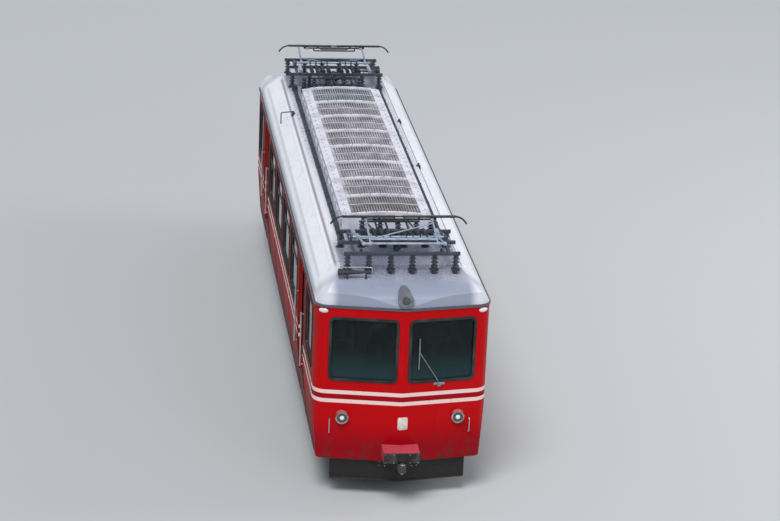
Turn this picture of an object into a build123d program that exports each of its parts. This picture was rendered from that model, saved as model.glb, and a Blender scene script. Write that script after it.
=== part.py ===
"""One car of an electric rack railway train, at full size, in millimetres.

The car stands on its wheel flanges at z = 0, with its length along X and its width along Y. Both ends are
alike, so what belongs to an end is made once at the +X end and turned half round for the other. What
belongs to a side is made once at +Y and mirrored.
"""

import math
import os

from build123d import *

# Running gear
WHEEL_R = 350.0
FLANGE_H = 28.0
FLANGE_T = 27.0
WHEEL_BACK = 465.0
WHEEL_W = 133.0
RIM_T = 50.0
HUB_R = 105.0
HUB_SIDE = 12.0
WEB_T = 26.0
AXLE_R = 65.0
JOURNAL_R = 55.0
JOURNAL_END_GAP = 3.0
PINION_TEETH = 18
RACK_PITCH = 100.0
PINION_W = 90.0
PINION_HUB_W = 150.0
TOOTH_UP = 29.0
TOOTH_DOWN = 38.0
TOOTH_ROOT_SHARE = 0.66
TOOTH_TIP_SHARE = 0.3
BOGIE_X = 3600.0
WHEELBASE = 2000.0
PIN_PLAY = 0.1
SEAT_GAP = 0.3
MOVING_GAP = 5.0

# Bogie frame
SILL_Y = 745.0
SILL_W = 110.0
BOGIE_HALF_L = 1480.0
SILL_TOP = 690.0
SILL_BOTTOM = 600.0
HEADSTOCK_W = 80.0
TRANSOM_HALF_W = 180.0
TRANSOM_TOP = 640.0
TRANSOM_BOTTOM = 500.0
PIVOT_R = 60.0
PIVOT_BOTTOM = 520.0
AXLEBOX_HALF_W = 105.0
AXLEBOX_UP = 92.0
AXLEBOX_DOWN = 93.0
AXLEBOX_DEPTH = 180.0
AXLEBOX_CAP = 17.0
GUIDE_T = 40.0
GUIDE_DOWN = 48.0
AXLE_SPRING_R = 75.0
BODY_SPRING_R = 80.0
SPRING_SEAT_T = 15.0
SHOE_T = 55.0
SHOE_H = 190.0
SHOE_W = 80.0
MOTOR_R = 190.0
MOTOR_X = 430.0
MOTOR_Z = 450.0
MOTOR_HALF_L = 400.0
GEARCASE_Y = 150.0
GEARCASE_W = 80.0
GEARCASE_R = 175.0
GEARCASE_SMALL_R = 140.0
NOSE_HALF_W = 120.0
NOSE_H = 80.0

# Body shell
PROW_X = 6187.0
PROW_SLOPE = 0.17
HALF_W = 1300.0
CORNER_R = 210.0
WALL = 50.0
SKIRT_Z = 600.0
WAIST_Z = 1450.0
CANTRAIL_Z = 3000.0
SKIRT_TUCK = 70.0
END_JOINT_X = 5700.0
FLOOR_TOP = 960.0
FLOOR_T = 100.0
BEAM_Y = 240.0
BEAM_W = 80.0
BEAM_H = 100.0
BEAM_SETBACK = 287.0
BULKHEAD_X = 4250.0
BULKHEAD_T = 45.0

# Side windows: centre from the middle of the car, width, bottom, top, corner radius
SIDE_WINDOWS = (
    (775.0, 1250.0, 1830.0, 2850.0, 70.0),
    (2325.0, 1250.0, 1830.0, 2850.0, 70.0),
    (5050.0, 1000.0, 1870.0, 2850.0, 70.0),
)
END_WINDOW_Y = 585.0
END_WINDOW_W = 985.0
END_WINDOW_Z0 = 1870.0
END_WINDOW_Z1 = 2840.0
END_WINDOW_R = 70.0
GLASS_T = 8.0
GLASS_INSET = 20.0
BULKHEAD_WINDOW_Y = 760.0
BULKHEAD_WINDOW_W = 560.0
BULKHEAD_WINDOW_Z0 = 1830.0
BULKHEAD_WINDOW_Z1 = 2740.0
BULKHEAD_DOOR_W = 620.0
BULKHEAD_DOOR_Z1 = 2860.0

# Passenger doors, which slide inside the wall on a header rail
DOOR_X = 3725.0
DOOR_W = 850.0
DOOR_Z1 = 2850.0
DOOR_LAP = 50.0
DOOR_T = 36.0
DOOR_SILL_GAP = 8.0
DOOR_GLASS_W = 560.0
DOOR_GLASS_Z0 = 1830.0
DOOR_GLASS_Z1 = 2740.0
DOOR_GLASS_R = 60.0
DOOR_TRAVEL = 850.0
HEADER_Z0 = 2885.0
HEADER_H = 60.0
HEADER_Y = 1160.0
HANDRAIL_FROM_DOOR = 100.0
HANDRAIL_OUT = 45.0
HANDRAIL_R = 14.0
HANDRAIL_Z0 = 1380.0
HANDRAIL_Z1 = 2260.0

# Roof
ROOF_T = 50.0
EDGE_Z = 3030.0
SHOULDER_Y = 1195.0
SHOULDER_Z = 3190.0
CROWN_Y = 880.0
CROWN_Z = 3420.0
BROW_BACK = 97.0
BROW_Z = 3200.0
CROWN_X = 5300.0
EDGE_R = 60.0
SHOULDER_R = 120.0
CROWN_R = 160.0
CROWN_END_R = 600.0
GUTTER_OUT = 18.0
SEAM_YS = (905.0, 1010.0)
SEAM_W = 22.0
SEAM_H = 14.0
SEAM_HALF_L = 5150.0

# Resistor hood on the roof
HOOD_HALF_L = 3632.0
HOOD_HALF_W = 700.0
HOOD_OPEN_HALF_W = 545.0
HOOD_SIDE_Z = 3620.0
HOOD_RISE = 50.0
HOOD_T = 12.0
HOOD_BAYS = 8
RIB_W = 64.0
RIB_UP = 10.0
RIB_DOWN = 40.0
PANEL_T = 14.0
PANEL_DROP = 14.0
SLOT_COUNT = 24
SLOT_PITCH = 42.0
SLOT_W = 20.0
SLOT_MARGIN = 26.0
PANEL_BAR_W = 46.0

# Conduits beside the hood, a lead from each pantograph to the hood, and a signal horn at each end
CONDUIT_Y = 780.0
CONDUIT_R = 16.0
CONDUIT_UP = 45.0
CONDUIT_HALF_L = 4250.0
CLAMP_COUNT = 9
CLAMP_L = 40.0
CLAMP_HALF_W = 34.0
JUNCTION_L = 130.0
JUNCTION_HALF_W = 48.0
JUNCTION_H = 85.0
LEAD_Y = 330.0
LEAD_R = 13.0
LEAD_STUB = 150.0
LEAD_HOOD_Z = 3560.0
HORN_X = 5665.0
HORN_BELL_Y = 960.0
HORN_THROAT_Y = 560.0
HORN_TAIL_Y = 480.0
HORN_AXIS_Z = 3425.0
HORN_BELL_R = 52.0
HORN_THROAT_R = 17.0
HORN_FOOT_YS = (540.0, 820.0)
HORN_FOOT_R = 12.0

# Pantographs
PANTO_X = 5010.0
PANTO_ROW = 510.0
PIVOT_Z = 3750.0
ARM = 720.0
ARM_ANGLE = 11.2
INSULATOR_YS = (160.0, 490.0, 810.0)
INSULATOR_TOP = 3640.0
INSULATOR_R = 30.0
SHED_R = 52.0
SHED_T = 16.0
SHED_PITCH = 58.0
SHED_COUNT = 3
BASE_BEAM = 48.0
BASE_HALF_W = 870.0
LUG_Y = 710.0
LUG_T = 40.0
LUG_HALF_W = 40.0
LOWER_Y = 600.0
UPPER_Y = 500.0
PIVOT_SHAFT_R = 18.0
KNEE_R = 16.0
HEAD_R = 12.0
LOWER_TUBE_R = 17.0
LOWER_TIE_SHARE = 0.25
UPPER_TUBE_R = 14.0
BRACE_R = 10.0
SLEEVE_W = 50.0
SLEEVE_T = 11.0
SHAFT_OVERHANG = 30.0
RAISING_SPRING_R = 28.0
RAISING_SPRING_Y = 330.0
STRIP_HALF_L = 850.0
STRIP_SPLIT = 60.0
STRIP_W = 56.0
STRIP_T = 26.0
STRIP_UP = 30.0
STRIP_POSTS = (300.0, 545.0)
POST_T = 20.0
TIP_R = 13.0
TIP_OUT = 183.0
TIP_DROP = 110.0

# Ends
LAMP_Y = 870.0
LAMP_Z = 1284.0
LAMP_R = 92.0
LAMP_OUT = 60.0
LAMP_RIM = 16.0
LENS_T = 14.0
LENS_BACK = 6.0
TOP_LAMP_Z = 3165.0
TOP_LAMP_R = 112.0
TOP_LAMP_OUT = 20.0
COUPLER_HALF_W = 270.0
COUPLER_Z0 = 700.0
COUPLER_Z1 = 870.0
COUPLER_OUT = 295.0
TONGUE_HALF_W = 62.0
TONGUE_Z0 = 606.0
TONGUE_OUT = 366.0
COUPLER_PIN_R = 26.0
PILOT_HALF_W = 1020.0
PILOT_BOTTOM = 250.0
PILOT_T = 14.0
PILOT_INSET = 60.0
PILOT_POST_Y = 240.0
PILOT_POST_W = 120.0

# Interior
SEAT_XS = (-1550.0, 0.0, 1550.0)
BENCH_END_X = 3190.0
AISLE_Y = 250.0
SEAT_OUT_Y = 1150.0
SEAT_UP = 400.0
SEAT_T = 60.0
SEAT_DEPTH = 470.0
SEAT_BACK_FOOT = 95.0
SEAT_BACK_TOP = 40.0
SEAT_BACK_Z = 1930.0
PEDESTAL_T = 75.0
PEDESTAL_INSET = 100.0
DESK_X = 5560.0
DESK_HALF_W = 1040.0
DESK_Z = 1660.0
DESK_FALL = 90.0
STOOL_X = 4990.0
STOOL_Y = 520.0
STOOL_HALF = 220.0
STOOL_POST_R = 50.0

# Underfloor
STEP_Y = 1010.0
STEP_W = 200.0
STEP_Z = 545.0
STEP_T = 28.0
HANGER_T = 30.0
HANGER_W = 110.0
# Boxes: centre along the car, length, nearest and farthest from the middle, bottom
UNDERFLOOR_BOXES = (
    (-1330.0, 1100.0, 360.0, 1120.0, 380.0),
    (0.0, 1300.0, 420.0, 1140.0, 340.0),
    (1330.0, 1100.0, 360.0, 1120.0, 400.0),
)
BOX_EDGE = 30.0
RESERVOIR_R = 130.0
RESERVOIR_L = 1300.0
RESERVOIR_X = 900.0
RESERVOIR_Z = 660.0
RESERVOIR_END_R = 60.0
RESERVOIR_HANGER_X = 400.0

# Worked out from the sizes above
AXLE_Z = WHEEL_R + FLANGE_H
AXLE_XS = (-WHEELBASE / 2, WHEELBASE / 2)
FLOOR_BOTTOM = FLOOR_TOP - FLOOR_T
SLANT = math.hypot(1.0, PROW_SLOPE)
PINION_R = PINION_TEETH * RACK_PITCH / (2 * math.pi)
WALL_AT_FLOOR = HALF_W - SKIRT_TUCK * (WAIST_Z - FLOOR_TOP) / (WAIST_Z - SKIRT_Z) - WALL
DOOR_OUT_Y = WALL_AT_FLOOR - MOVING_GAP
ARM_RUN = ARM * math.cos(math.radians(ARM_ANGLE))
ARM_RISE = ARM * math.sin(math.radians(ARM_ANGLE))
KNEE_X = PANTO_X + ARM_RUN
KNEE_Z = PIVOT_Z + ARM_RISE
HEAD_Z = PIVOT_Z + 2 * ARM_RISE
BASE_TOP = INSULATOR_TOP + BASE_BEAM
BEAM_HALF_L = PROW_X - BEAM_SETBACK
DOOR_IN_X = DOOR_X - DOOR_W / 2
DOOR_OUT_X = DOOR_X + DOOR_W / 2
BAY_PITCH = (2 * HOOD_HALF_L - RIB_W) / HOOD_BAYS
TIP_BEND_R = (TIP_OUT ** 2 + TIP_DROP ** 2) / (2 * TIP_DROP)
FAR = 8000.0
DEEP = 2000.0


def box(x0, x1, y0, y1, z0, z1):
    """A box between two corners."""
    return Pos((x0 + x1) / 2, (y0 + y1) / 2, (z0 + z1) / 2) * Box(x1 - x0, y1 - y0, z1 - z0)


def rod(start, end, radius):
    """A round bar from one point to another."""
    line = Vector(*end) - Vector(*start)
    return extrude(Plane(origin=start, z_dir=line) * Circle(radius), amount=line.length)


def across(x, z, radius, y0, y1):
    """A round bar along Y."""
    return rod((x, y0, z), (x, y1, z), radius)


def upright(x, y, radius, z0, z1):
    """A round bar along Z."""
    return rod((x, y, z0), (x, y, z1), radius)


def group(shapes):
    """Several solids kept apart in one piece."""
    return Compound([solid for shape in shapes for solid in shape.solids()])


def both_sides(shape):
    """A shape and its mirror image across the middle of the car."""
    return group([shape, mirror(shape, about=Plane.XZ)])


def other_end(shape):
    """The same shape at the -X end of the car."""
    return Rot(0, 0, 180) * shape


def both_ends(shape):
    """A shape at the +X end of the car and the same shape at the other end."""
    return group([shape, other_end(shape)])


def fused(shapes):
    """One solid from shapes that touch."""
    whole = shapes[0]
    for shape in shapes[1:]:
        whole += shape
    return whole


def rounded_face(points, radii):
    """A closed polygon as a face in XY, some corners rounded: radii maps a point to its radius."""
    face = make_face(Polyline(*points, close=True))
    for (x, y), radius in radii.items():
        if radius > 0:
            corner = min(face.vertices(), key=lambda v: math.hypot(v.X - x, v.Y - y))
            face = fillet(corner, radius)
    return face


def along_x(face, x0, x1):
    """A face drawn as (y, z), carried from x0 to x1."""
    return extrude(Plane(origin=(x0, 0, 0), x_dir=(0, 1, 0), z_dir=(1, 0, 0)) * face, amount=x1 - x0)


def along_y(face, y0, y1):
    """A face drawn as (x, z), carried from y0 to y1."""
    return extrude(Plane(origin=(0, y1, 0), x_dir=(1, 0, 0), z_dir=(0, -1, 0)) * face, amount=y1 - y0)


def polygon(points):
    """A closed polygon as a face in XY."""
    return make_face(Polyline(*points, close=True))


def inset_outline(points, inset):
    """A convex polygon, drawn anticlockwise, with each side moved in."""
    moved = []
    for before, here, after in zip(points[-1:] + points[:-1], points, points[1:] + points[:1]):
        into = (Vector(*here) - Vector(*before)).normalized()
        out = (Vector(*after) - Vector(*here)).normalized()
        bisector = Vector(-into.Y - out.Y, into.X + out.X).normalized()
        reach = inset / bisector.dot(Vector(-into.Y, into.X))
        moved.append((here[0] + bisector.X * reach, here[1] + bisector.Y * reach))
    return moved


def mirrored(half):
    """A symmetric outline, anticlockwise, from its right half, bottom to top."""
    return half + [(-a, b) for a, b in reversed(half)]


# The body's volume, at any depth below its skin


def plan_volume(inset, z0, z1):
    """The car seen from above, with a shallow prow at each end and round corners, between two heights."""
    prow = PROW_X - inset * SLANT
    half_w = HALF_W - inset
    side = prow - PROW_SLOPE * half_w
    points = [(side, -half_w), (prow, 0), (side, half_w), (-side, half_w), (-prow, 0), (-side, -half_w)]
    corners = {point: CORNER_R - inset for point in points if point[1] != 0}
    return Pos(0, 0, z0) * extrude(rounded_face(points, corners), amount=z1 - z0)


def body_volume(inset, z0=SKIRT_Z, z1=CANTRAIL_Z):
    """The body below the roof: its sides lean in below the waist."""
    foot = SKIRT_Z - DEEP
    tuck = SKIRT_TUCK * (WAIST_Z - foot) / (WAIST_Z - SKIRT_Z)
    half = [(HALF_W - tuck - inset, foot), (HALF_W - inset, WAIST_Z), (HALF_W - inset, FAR)]
    return plan_volume(inset, z0, z1) & along_x(polygon(mirrored(half)), -FAR, FAR)


def rounded_half_outline(half, inset, radii):
    """A symmetric outline moved in, its three upper corners on each side rounded, as a face."""
    points = inset_outline(mirrored(half), inset)
    corners = {}
    for side in (points[1:4], points[4:7][::-1]):
        corners.update(zip(side, [radius - inset for radius in radii]))
    return rounded_face(points, corners)


def roof_volume(inset, z0=CANTRAIL_Z):
    """The roof: steep cheeks and brows under a flat crown, cut to the car's plan."""
    foot = CANTRAIL_Z - DEEP
    half = [(HALF_W, foot), (HALF_W, EDGE_Z), (SHOULDER_Y, SHOULDER_Z), (CROWN_Y, CROWN_Z)]
    arch = along_x(rounded_half_outline(half, inset, (EDGE_R, SHOULDER_R, CROWN_R)), -FAR, FAR)
    half = [(PROW_X, foot), (PROW_X, EDGE_Z), (PROW_X - BROW_BACK, BROW_Z), (CROWN_X, CROWN_Z)]
    hips = along_y(rounded_half_outline(half, inset, (EDGE_R, SHOULDER_R, CROWN_END_R)), -FAR, FAR)
    return arch & hips & plan_volume(inset, z0, FAR)


def side_opening(x, width, z0, z1, radius, shrink=0.0):
    """A round-cornered opening through the +Y wall."""
    outline = RectangleRounded(width - 2 * shrink, z1 - z0 - 2 * shrink, radius - shrink)
    return along_y(Pos(x, (z0 + z1) / 2) * outline, HALF_W / 2, HALF_W * 2)


def end_opening(shrink=0.0):
    """One round-cornered windscreen opening through the +X end, at +Y."""
    height = END_WINDOW_Z1 - END_WINDOW_Z0
    outline = RectangleRounded(END_WINDOW_W - 2 * shrink, height - 2 * shrink, END_WINDOW_R - shrink)
    return along_x(Pos(END_WINDOW_Y, (END_WINDOW_Z0 + END_WINDOW_Z1) / 2) * outline, END_JOINT_X, FAR)


OUTER_BODY = body_volume(0)
SHELL = OUTER_BODY - body_volume(WALL, SKIRT_Z - WALL, CANTRAIL_Z + WALL)
OUTER_ROOF = roof_volume(0)
INNER_ROOF = roof_volume(ROOF_T, CANTRAIL_Z - ROOF_T)


# Body


def side_window_openings(shrink=0.0):
    """Every side window's opening through the +Y wall."""
    rows = [(sign * x, *rest) for x, *rest in SIDE_WINDOWS for sign in (1, -1)]
    return [side_opening(*row, shrink=shrink) for row in rows]


def side_panel(x0, x1, z0=SKIRT_Z, z1=CANTRAIL_Z):
    """A stretch of the +Y wall, with the windows that fall in it."""
    panel = SHELL & box(x0, x1, 0, HALF_W * 2, z0, z1)
    for opening in side_window_openings():
        panel -= opening
    return panel


def doorway_frame():
    """What closes the +Y wall round the +X doorway: a lintel with the leaf's header rail, and a sill."""
    rail = box(DOOR_IN_X - DOOR_LAP - DOOR_TRAVEL, BULKHEAD_X, HEADER_Y, HALF_W - WALL, HEADER_Z0,
               HEADER_Z0 + HEADER_H)
    lintel = side_panel(DOOR_IN_X, DOOR_OUT_X, DOOR_Z1, CANTRAIL_Z) + rail
    return group([lintel, side_panel(DOOR_IN_X, DOOR_OUT_X, SKIRT_Z, FLOOR_TOP)])


def end_wall():
    """The +X end panel, with its two windscreen openings."""
    wall = SHELL & box(END_JOINT_X, FAR, -FAR, FAR, SKIRT_Z, CANTRAIL_Z)
    pane = end_opening()
    return wall - pane - mirror(pane, about=Plane.XZ)


def glazing():
    """Side panes and end panes, let into their openings."""
    sheet = body_volume(GLASS_INSET) - body_volume(GLASS_INSET + GLASS_T, SKIRT_Z - WALL, CANTRAIL_Z + WALL)
    side = group([sheet & opening for opening in side_window_openings(SEAT_GAP)])
    end = both_sides(sheet & end_opening(SEAT_GAP))
    return both_sides(side), both_ends(end)


def underframe():
    """The floor, two long beams below it and a pivot pin over each bogie."""
    beam = box(-BEAM_HALF_L, BEAM_HALF_L, BEAM_Y - BEAM_W / 2, BEAM_Y + BEAM_W / 2,
               FLOOR_BOTTOM - BEAM_H, FLOOR_BOTTOM)
    frame = body_volume(WALL, FLOOR_BOTTOM, FLOOR_TOP) + beam + mirror(beam, about=Plane.XZ)
    for x in (BOGIE_X, -BOGIE_X):
        frame += upright(x, 0, PIVOT_R, PIVOT_BOTTOM, FLOOR_BOTTOM)
    return frame


def bulkhead():
    """The +X cab's rear wall, with a doorway and two windows."""
    inside = body_volume(WALL, FLOOR_TOP, CANTRAIL_Z)
    inside += INNER_ROOF & box(-FAR, FAR, -FAR, FAR, CANTRAIL_Z, FAR)
    wall = inside & box(BULKHEAD_X, BULKHEAD_X + BULKHEAD_T, -FAR, FAR, FLOOR_TOP, FAR)
    half = BULKHEAD_DOOR_W / 2
    wall -= box(BULKHEAD_X - WALL, BULKHEAD_X + WALL * 2, -half, half, FLOOR_TOP, BULKHEAD_DOOR_Z1)
    for sign in (1, -1):
        near = sign * BULKHEAD_WINDOW_Y - BULKHEAD_WINDOW_W / 2
        wall -= box(BULKHEAD_X - WALL, BULKHEAD_X + WALL * 2, near, near + BULKHEAD_WINDOW_W,
                    BULKHEAD_WINDOW_Z0, BULKHEAD_WINDOW_Z1)
    return wall


def roof():
    """The roof shell, its gutter all round and its raised seams."""
    shell = OUTER_ROOF - INNER_ROOF
    gutter = plan_volume(-GUTTER_OUT, CANTRAIL_Z, EDGE_Z) - plan_volume(ROOF_T / 2, CANTRAIL_Z, EDGE_Z)
    whole = shell + gutter
    proud = roof_volume(-SEAM_H) - roof_volume(ROOF_T / 2)
    for y in SEAM_YS:
        for side in (y, -y):
            strip = box(-SEAM_HALF_L, SEAM_HALF_L, side - SEAM_W / 2, side + SEAM_W / 2, SHOULDER_Z, FAR)
            whole += proud & strip
    return whole


# Doors


def door_leaf():
    """A sliding door leaf at the +X end of the +Y side, with its window opening."""
    leaf = box(DOOR_IN_X - DOOR_LAP, DOOR_OUT_X + DOOR_LAP, DOOR_OUT_Y - DOOR_T, DOOR_OUT_Y,
               FLOOR_TOP + DOOR_SILL_GAP, HEADER_Z0 - SEAT_GAP)
    return leaf - side_opening(DOOR_X, DOOR_GLASS_W, DOOR_GLASS_Z0, DOOR_GLASS_Z1, DOOR_GLASS_R)


def door_glass():
    """The pane in that leaf."""
    middle = DOOR_OUT_Y - DOOR_T / 2
    pane = side_opening(DOOR_X, DOOR_GLASS_W, DOOR_GLASS_Z0, DOOR_GLASS_Z1, DOOR_GLASS_R, shrink=SEAT_GAP)
    return pane & box(0, FAR, middle - GLASS_T / 2, middle + GLASS_T / 2, 0, FAR)


def handrails():
    """A grab rail on each side of the +X doorway at +Y."""
    rails = []
    rail_y = HALF_W + HANDRAIL_OUT
    for x in (DOOR_IN_X - HANDRAIL_FROM_DOOR, DOOR_OUT_X + HANDRAIL_FROM_DOOR):
        pieces = [upright(x, rail_y, HANDRAIL_R, HANDRAIL_Z0, HANDRAIL_Z1)]
        for z in (HANDRAIL_Z0 + 2 * HANDRAIL_R, HANDRAIL_Z1 - 2 * HANDRAIL_R):
            pieces.append(across(x, z, HANDRAIL_R / 2, HALF_W - WALL, rail_y))
        rails.append(fused(pieces) - OUTER_BODY)
    return group(rails)


# Interior


def double_bench(x):
    """Two seats back to back at +Y."""
    seat_z = FLOOR_TOP + SEAT_UP
    pan = box(x - SEAT_DEPTH, x + SEAT_DEPTH, AISLE_Y, SEAT_OUT_Y, seat_z, seat_z + SEAT_T)
    post = box(x - PEDESTAL_T, x + PEDESTAL_T, AISLE_Y + PEDESTAL_INSET, SEAT_OUT_Y - PEDESTAL_INSET,
               FLOOR_TOP, seat_z)
    foot, top = SEAT_BACK_FOOT, SEAT_BACK_TOP
    outline = [(x - foot, seat_z + SEAT_T), (x + foot, seat_z + SEAT_T), (x + top, SEAT_BACK_Z),
               (x - top, SEAT_BACK_Z)]
    return fused([pan, post, along_y(polygon(outline), AISLE_Y, SEAT_OUT_Y)])


def end_bench():
    """A single seat at +Y with its back to the +X doorway."""
    return double_bench(BENCH_END_X) & box(0, BENCH_END_X, 0, FAR, 0, FAR)


def seats():
    """Every passenger seat."""
    return both_sides(group([double_bench(x) for x in SEAT_XS] + [both_ends(end_bench())]))


def driver_station():
    """The driver's desk behind the windscreens and the driver's seat."""
    outline = [(DESK_X, FLOOR_TOP), (FAR, FLOOR_TOP), (FAR, DESK_Z), (DESK_X + DESK_FALL, DESK_Z),
               (DESK_X, DESK_Z - DESK_FALL)]
    desk = along_y(polygon(outline), -DESK_HALF_W, DESK_HALF_W) & body_volume(WALL, FLOOR_TOP, CANTRAIL_Z)
    seat_z = FLOOR_TOP + SEAT_UP + SEAT_T
    near, far = STOOL_Y - STOOL_HALF, STOOL_Y + STOOL_HALF
    back = STOOL_X - STOOL_HALF
    stool = fused([
        upright(STOOL_X, STOOL_Y, STOOL_POST_R, FLOOR_TOP, seat_z),
        box(back, STOOL_X + STOOL_HALF, near, far, seat_z, seat_z + SEAT_T),
        box(back, back + SEAT_T, near, far, seat_z + SEAT_T, SEAT_BACK_Z),
    ])
    return group([desk, stool])


# Roof equipment


def hood_section(rise, x0, x1, half_w=HOOD_HALF_W):
    """What lies under the hood's arched top, raised or lowered by rise, over the roof's crown."""
    side_z = HOOD_SIDE_Z + rise
    edges = [
        Line((half_w, side_z), (half_w, CROWN_Z)),
        Line((half_w, CROWN_Z), (-half_w, CROWN_Z)),
        Line((-half_w, CROWN_Z), (-half_w, side_z)),
        ThreePointArc((-half_w, side_z), (0, side_z + HOOD_RISE), (half_w, side_z)),
    ]
    return along_x(make_face(edges), x0, x1)


def rib_xs():
    """Where the hood's ribs stand."""
    return [-HOOD_BAYS / 2 * BAY_PITCH + BAY_PITCH * i for i in range(HOOD_BAYS + 1)]


def resistor_hood():
    """A long white housing with open bays between arched ribs."""
    half_l, half_w, t = HOOD_HALF_L, HOOD_HALF_W, HOOD_T
    hood = hood_section(0, -half_l, half_l) - hood_section(-t, t - half_l, half_l - t, half_w - t)
    opening = box(-half_l, half_l, -HOOD_OPEN_HALF_W, HOOD_OPEN_HALF_W, HOOD_SIDE_Z, FAR)
    lip = HOOD_OPEN_HALF_W + HOOD_T
    hood -= opening & box(RIB_W / 2 - half_l, half_l - RIB_W / 2, -lip, lip, 0, FAR)
    for x in rib_xs():
        band = hood_section(RIB_UP, x - RIB_W / 2, x + RIB_W / 2) - hood_section(-RIB_DOWN, -FAR, FAR)
        hood += band & box(-FAR, FAR, -lip, lip, 0, FAR)
    return hood


def hood_panels():
    """The dark grilles in the hood's bays: each a plate with slots on both sides of a plain middle bar."""
    half = (BAY_PITCH - RIB_W) / 2
    plate = hood_section(-PANEL_DROP, -half, half) - hood_section(-PANEL_DROP - PANEL_T, -half, half)
    plate &= box(-half, half, -HOOD_OPEN_HALF_W, HOOD_OPEN_HALF_W, 0, FAR)
    slots = []
    for i in range(SLOT_COUNT):
        y = (i - (SLOT_COUNT - 1) / 2) * SLOT_PITCH
        for x0, x1 in ((SLOT_MARGIN - half, -PANEL_BAR_W / 2), (PANEL_BAR_W / 2, half - SLOT_MARGIN)):
            slots.append(box(x0, x1, y - SLOT_W / 2, y + SLOT_W / 2, CROWN_Z, FAR))
    grille = plate - slots
    return group([Pos(x + BAY_PITCH / 2, 0, 0) * grille for x in rib_xs()[:-1]])


def conduit():
    """A conduit along the crown at +Y, with its clamps and a junction box at each end."""
    z = CROWN_Z + CONDUIT_UP
    pieces = [rod((-CONDUIT_HALF_L, CONDUIT_Y, z), (CONDUIT_HALF_L, CONDUIT_Y, z), CONDUIT_R)]
    pitch = 2 * CONDUIT_HALF_L / (CLAMP_COUNT + 1)
    for i in range(CLAMP_COUNT):
        x = pitch * (i + 1) - CONDUIT_HALF_L
        pieces.append(box(x - CLAMP_L / 2, x + CLAMP_L / 2, CONDUIT_Y - CLAMP_HALF_W,
                          CONDUIT_Y + CLAMP_HALF_W, CROWN_Z, z))
    for end in (-CONDUIT_HALF_L, CONDUIT_HALF_L):
        pieces.append(box(end - JUNCTION_L / 2, end + JUNCTION_L / 2, CONDUIT_Y - JUNCTION_HALF_W,
                          CONDUIT_Y + JUNCTION_HALF_W, CROWN_Z, CROWN_Z + JUNCTION_H))
    return fused(pieces)


def pantograph_lead():
    """A bent bar at +Y that carries the current from the +X pantograph's frame into the hood's end."""
    near = PANTO_X - PANTO_ROW - BASE_BEAM / 2
    top = INSULATOR_TOP + BASE_BEAM / 2
    path = [(near, top), (near - LEAD_STUB, top), (HOOD_HALF_L + LEAD_STUB, LEAD_HOOD_Z),
            (HOOD_HALF_L, LEAD_HOOD_Z)]
    points = [(x, LEAD_Y, z) for x, z in path]
    pieces = [rod(a, b, LEAD_R) for a, b in zip(points, points[1:])]
    pieces += [Pos(*point) * Sphere(LEAD_R) for point in points[1:-1]]
    return fused(pieces)


def signal_horn():
    """A trumpet lying across the +X end of the roof at -Y, on two feet."""
    outline = [(0, -HORN_BELL_Y), (HORN_BELL_R, -HORN_BELL_Y), (HORN_THROAT_R, -HORN_THROAT_Y),
               (HORN_THROAT_R, -HORN_TAIL_Y), (0, -HORN_TAIL_Y)]
    horn = Pos(HORN_X, 0, HORN_AXIS_Z) * revolve(polygon(outline), Axis.Y)
    for y in HORN_FOOT_YS:
        horn += upright(HORN_X, -y, HORN_FOOT_R, SHOULDER_Z, HORN_AXIS_Z)
    return horn - OUTER_ROOF


def roof_fittings():
    """Conduits, leads and signal horns."""
    return group([both_sides(conduit()), both_ends(both_sides(pantograph_lead())), both_ends(signal_horn())])


def insulators():
    """Two rows of ribbed posts under the +X pantograph."""
    posts = []
    for x in (PANTO_X - PANTO_ROW, PANTO_X + PANTO_ROW):
        for y in INSULATOR_YS:
            post = upright(x, y, INSULATOR_R, SHOULDER_Z, INSULATOR_TOP)
            for i in range(SHED_COUNT):
                z = INSULATOR_TOP - SHED_PITCH * (i + 1)
                post += upright(x, y, SHED_R, z, z + SHED_T)
            posts.append(post - OUTER_ROOF)
    return both_sides(group(posts))


def pantograph_base():
    """The frame on the insulators, with its two bearing lugs and raising springs."""
    half = BASE_BEAM / 2
    pieces = [box(x - half, x + half, -BASE_HALF_W, BASE_HALF_W, INSULATOR_TOP, BASE_TOP)
              for x in (PANTO_X - PANTO_ROW, PANTO_X, PANTO_X + PANTO_ROW)]
    for side in (1, -1):
        y = side * LUG_Y
        pieces.append(box(PANTO_X - PANTO_ROW, PANTO_X + PANTO_ROW, y - LUG_T / 2, y + LUG_T / 2,
                          INSULATOR_TOP, BASE_TOP))
        pieces.append(box(PANTO_X - LUG_HALF_W, PANTO_X + LUG_HALF_W, y - LUG_T / 2, y + LUG_T / 2,
                          BASE_TOP, PIVOT_Z))
        pieces.append(across(PANTO_X, PIVOT_Z, LUG_HALF_W, y - LUG_T / 2, y + LUG_T / 2))
        spring_y = side * RAISING_SPRING_Y
        pieces.append(rod((PANTO_X - PANTO_ROW, spring_y, BASE_TOP + half / 2),
                          (PANTO_X - LUG_HALF_W, spring_y, BASE_TOP + half / 2), RAISING_SPRING_R))
    return fused(pieces) - across(PANTO_X, PIVOT_Z, PIVOT_SHAFT_R + PIN_PLAY, -FAR, FAR)


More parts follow.
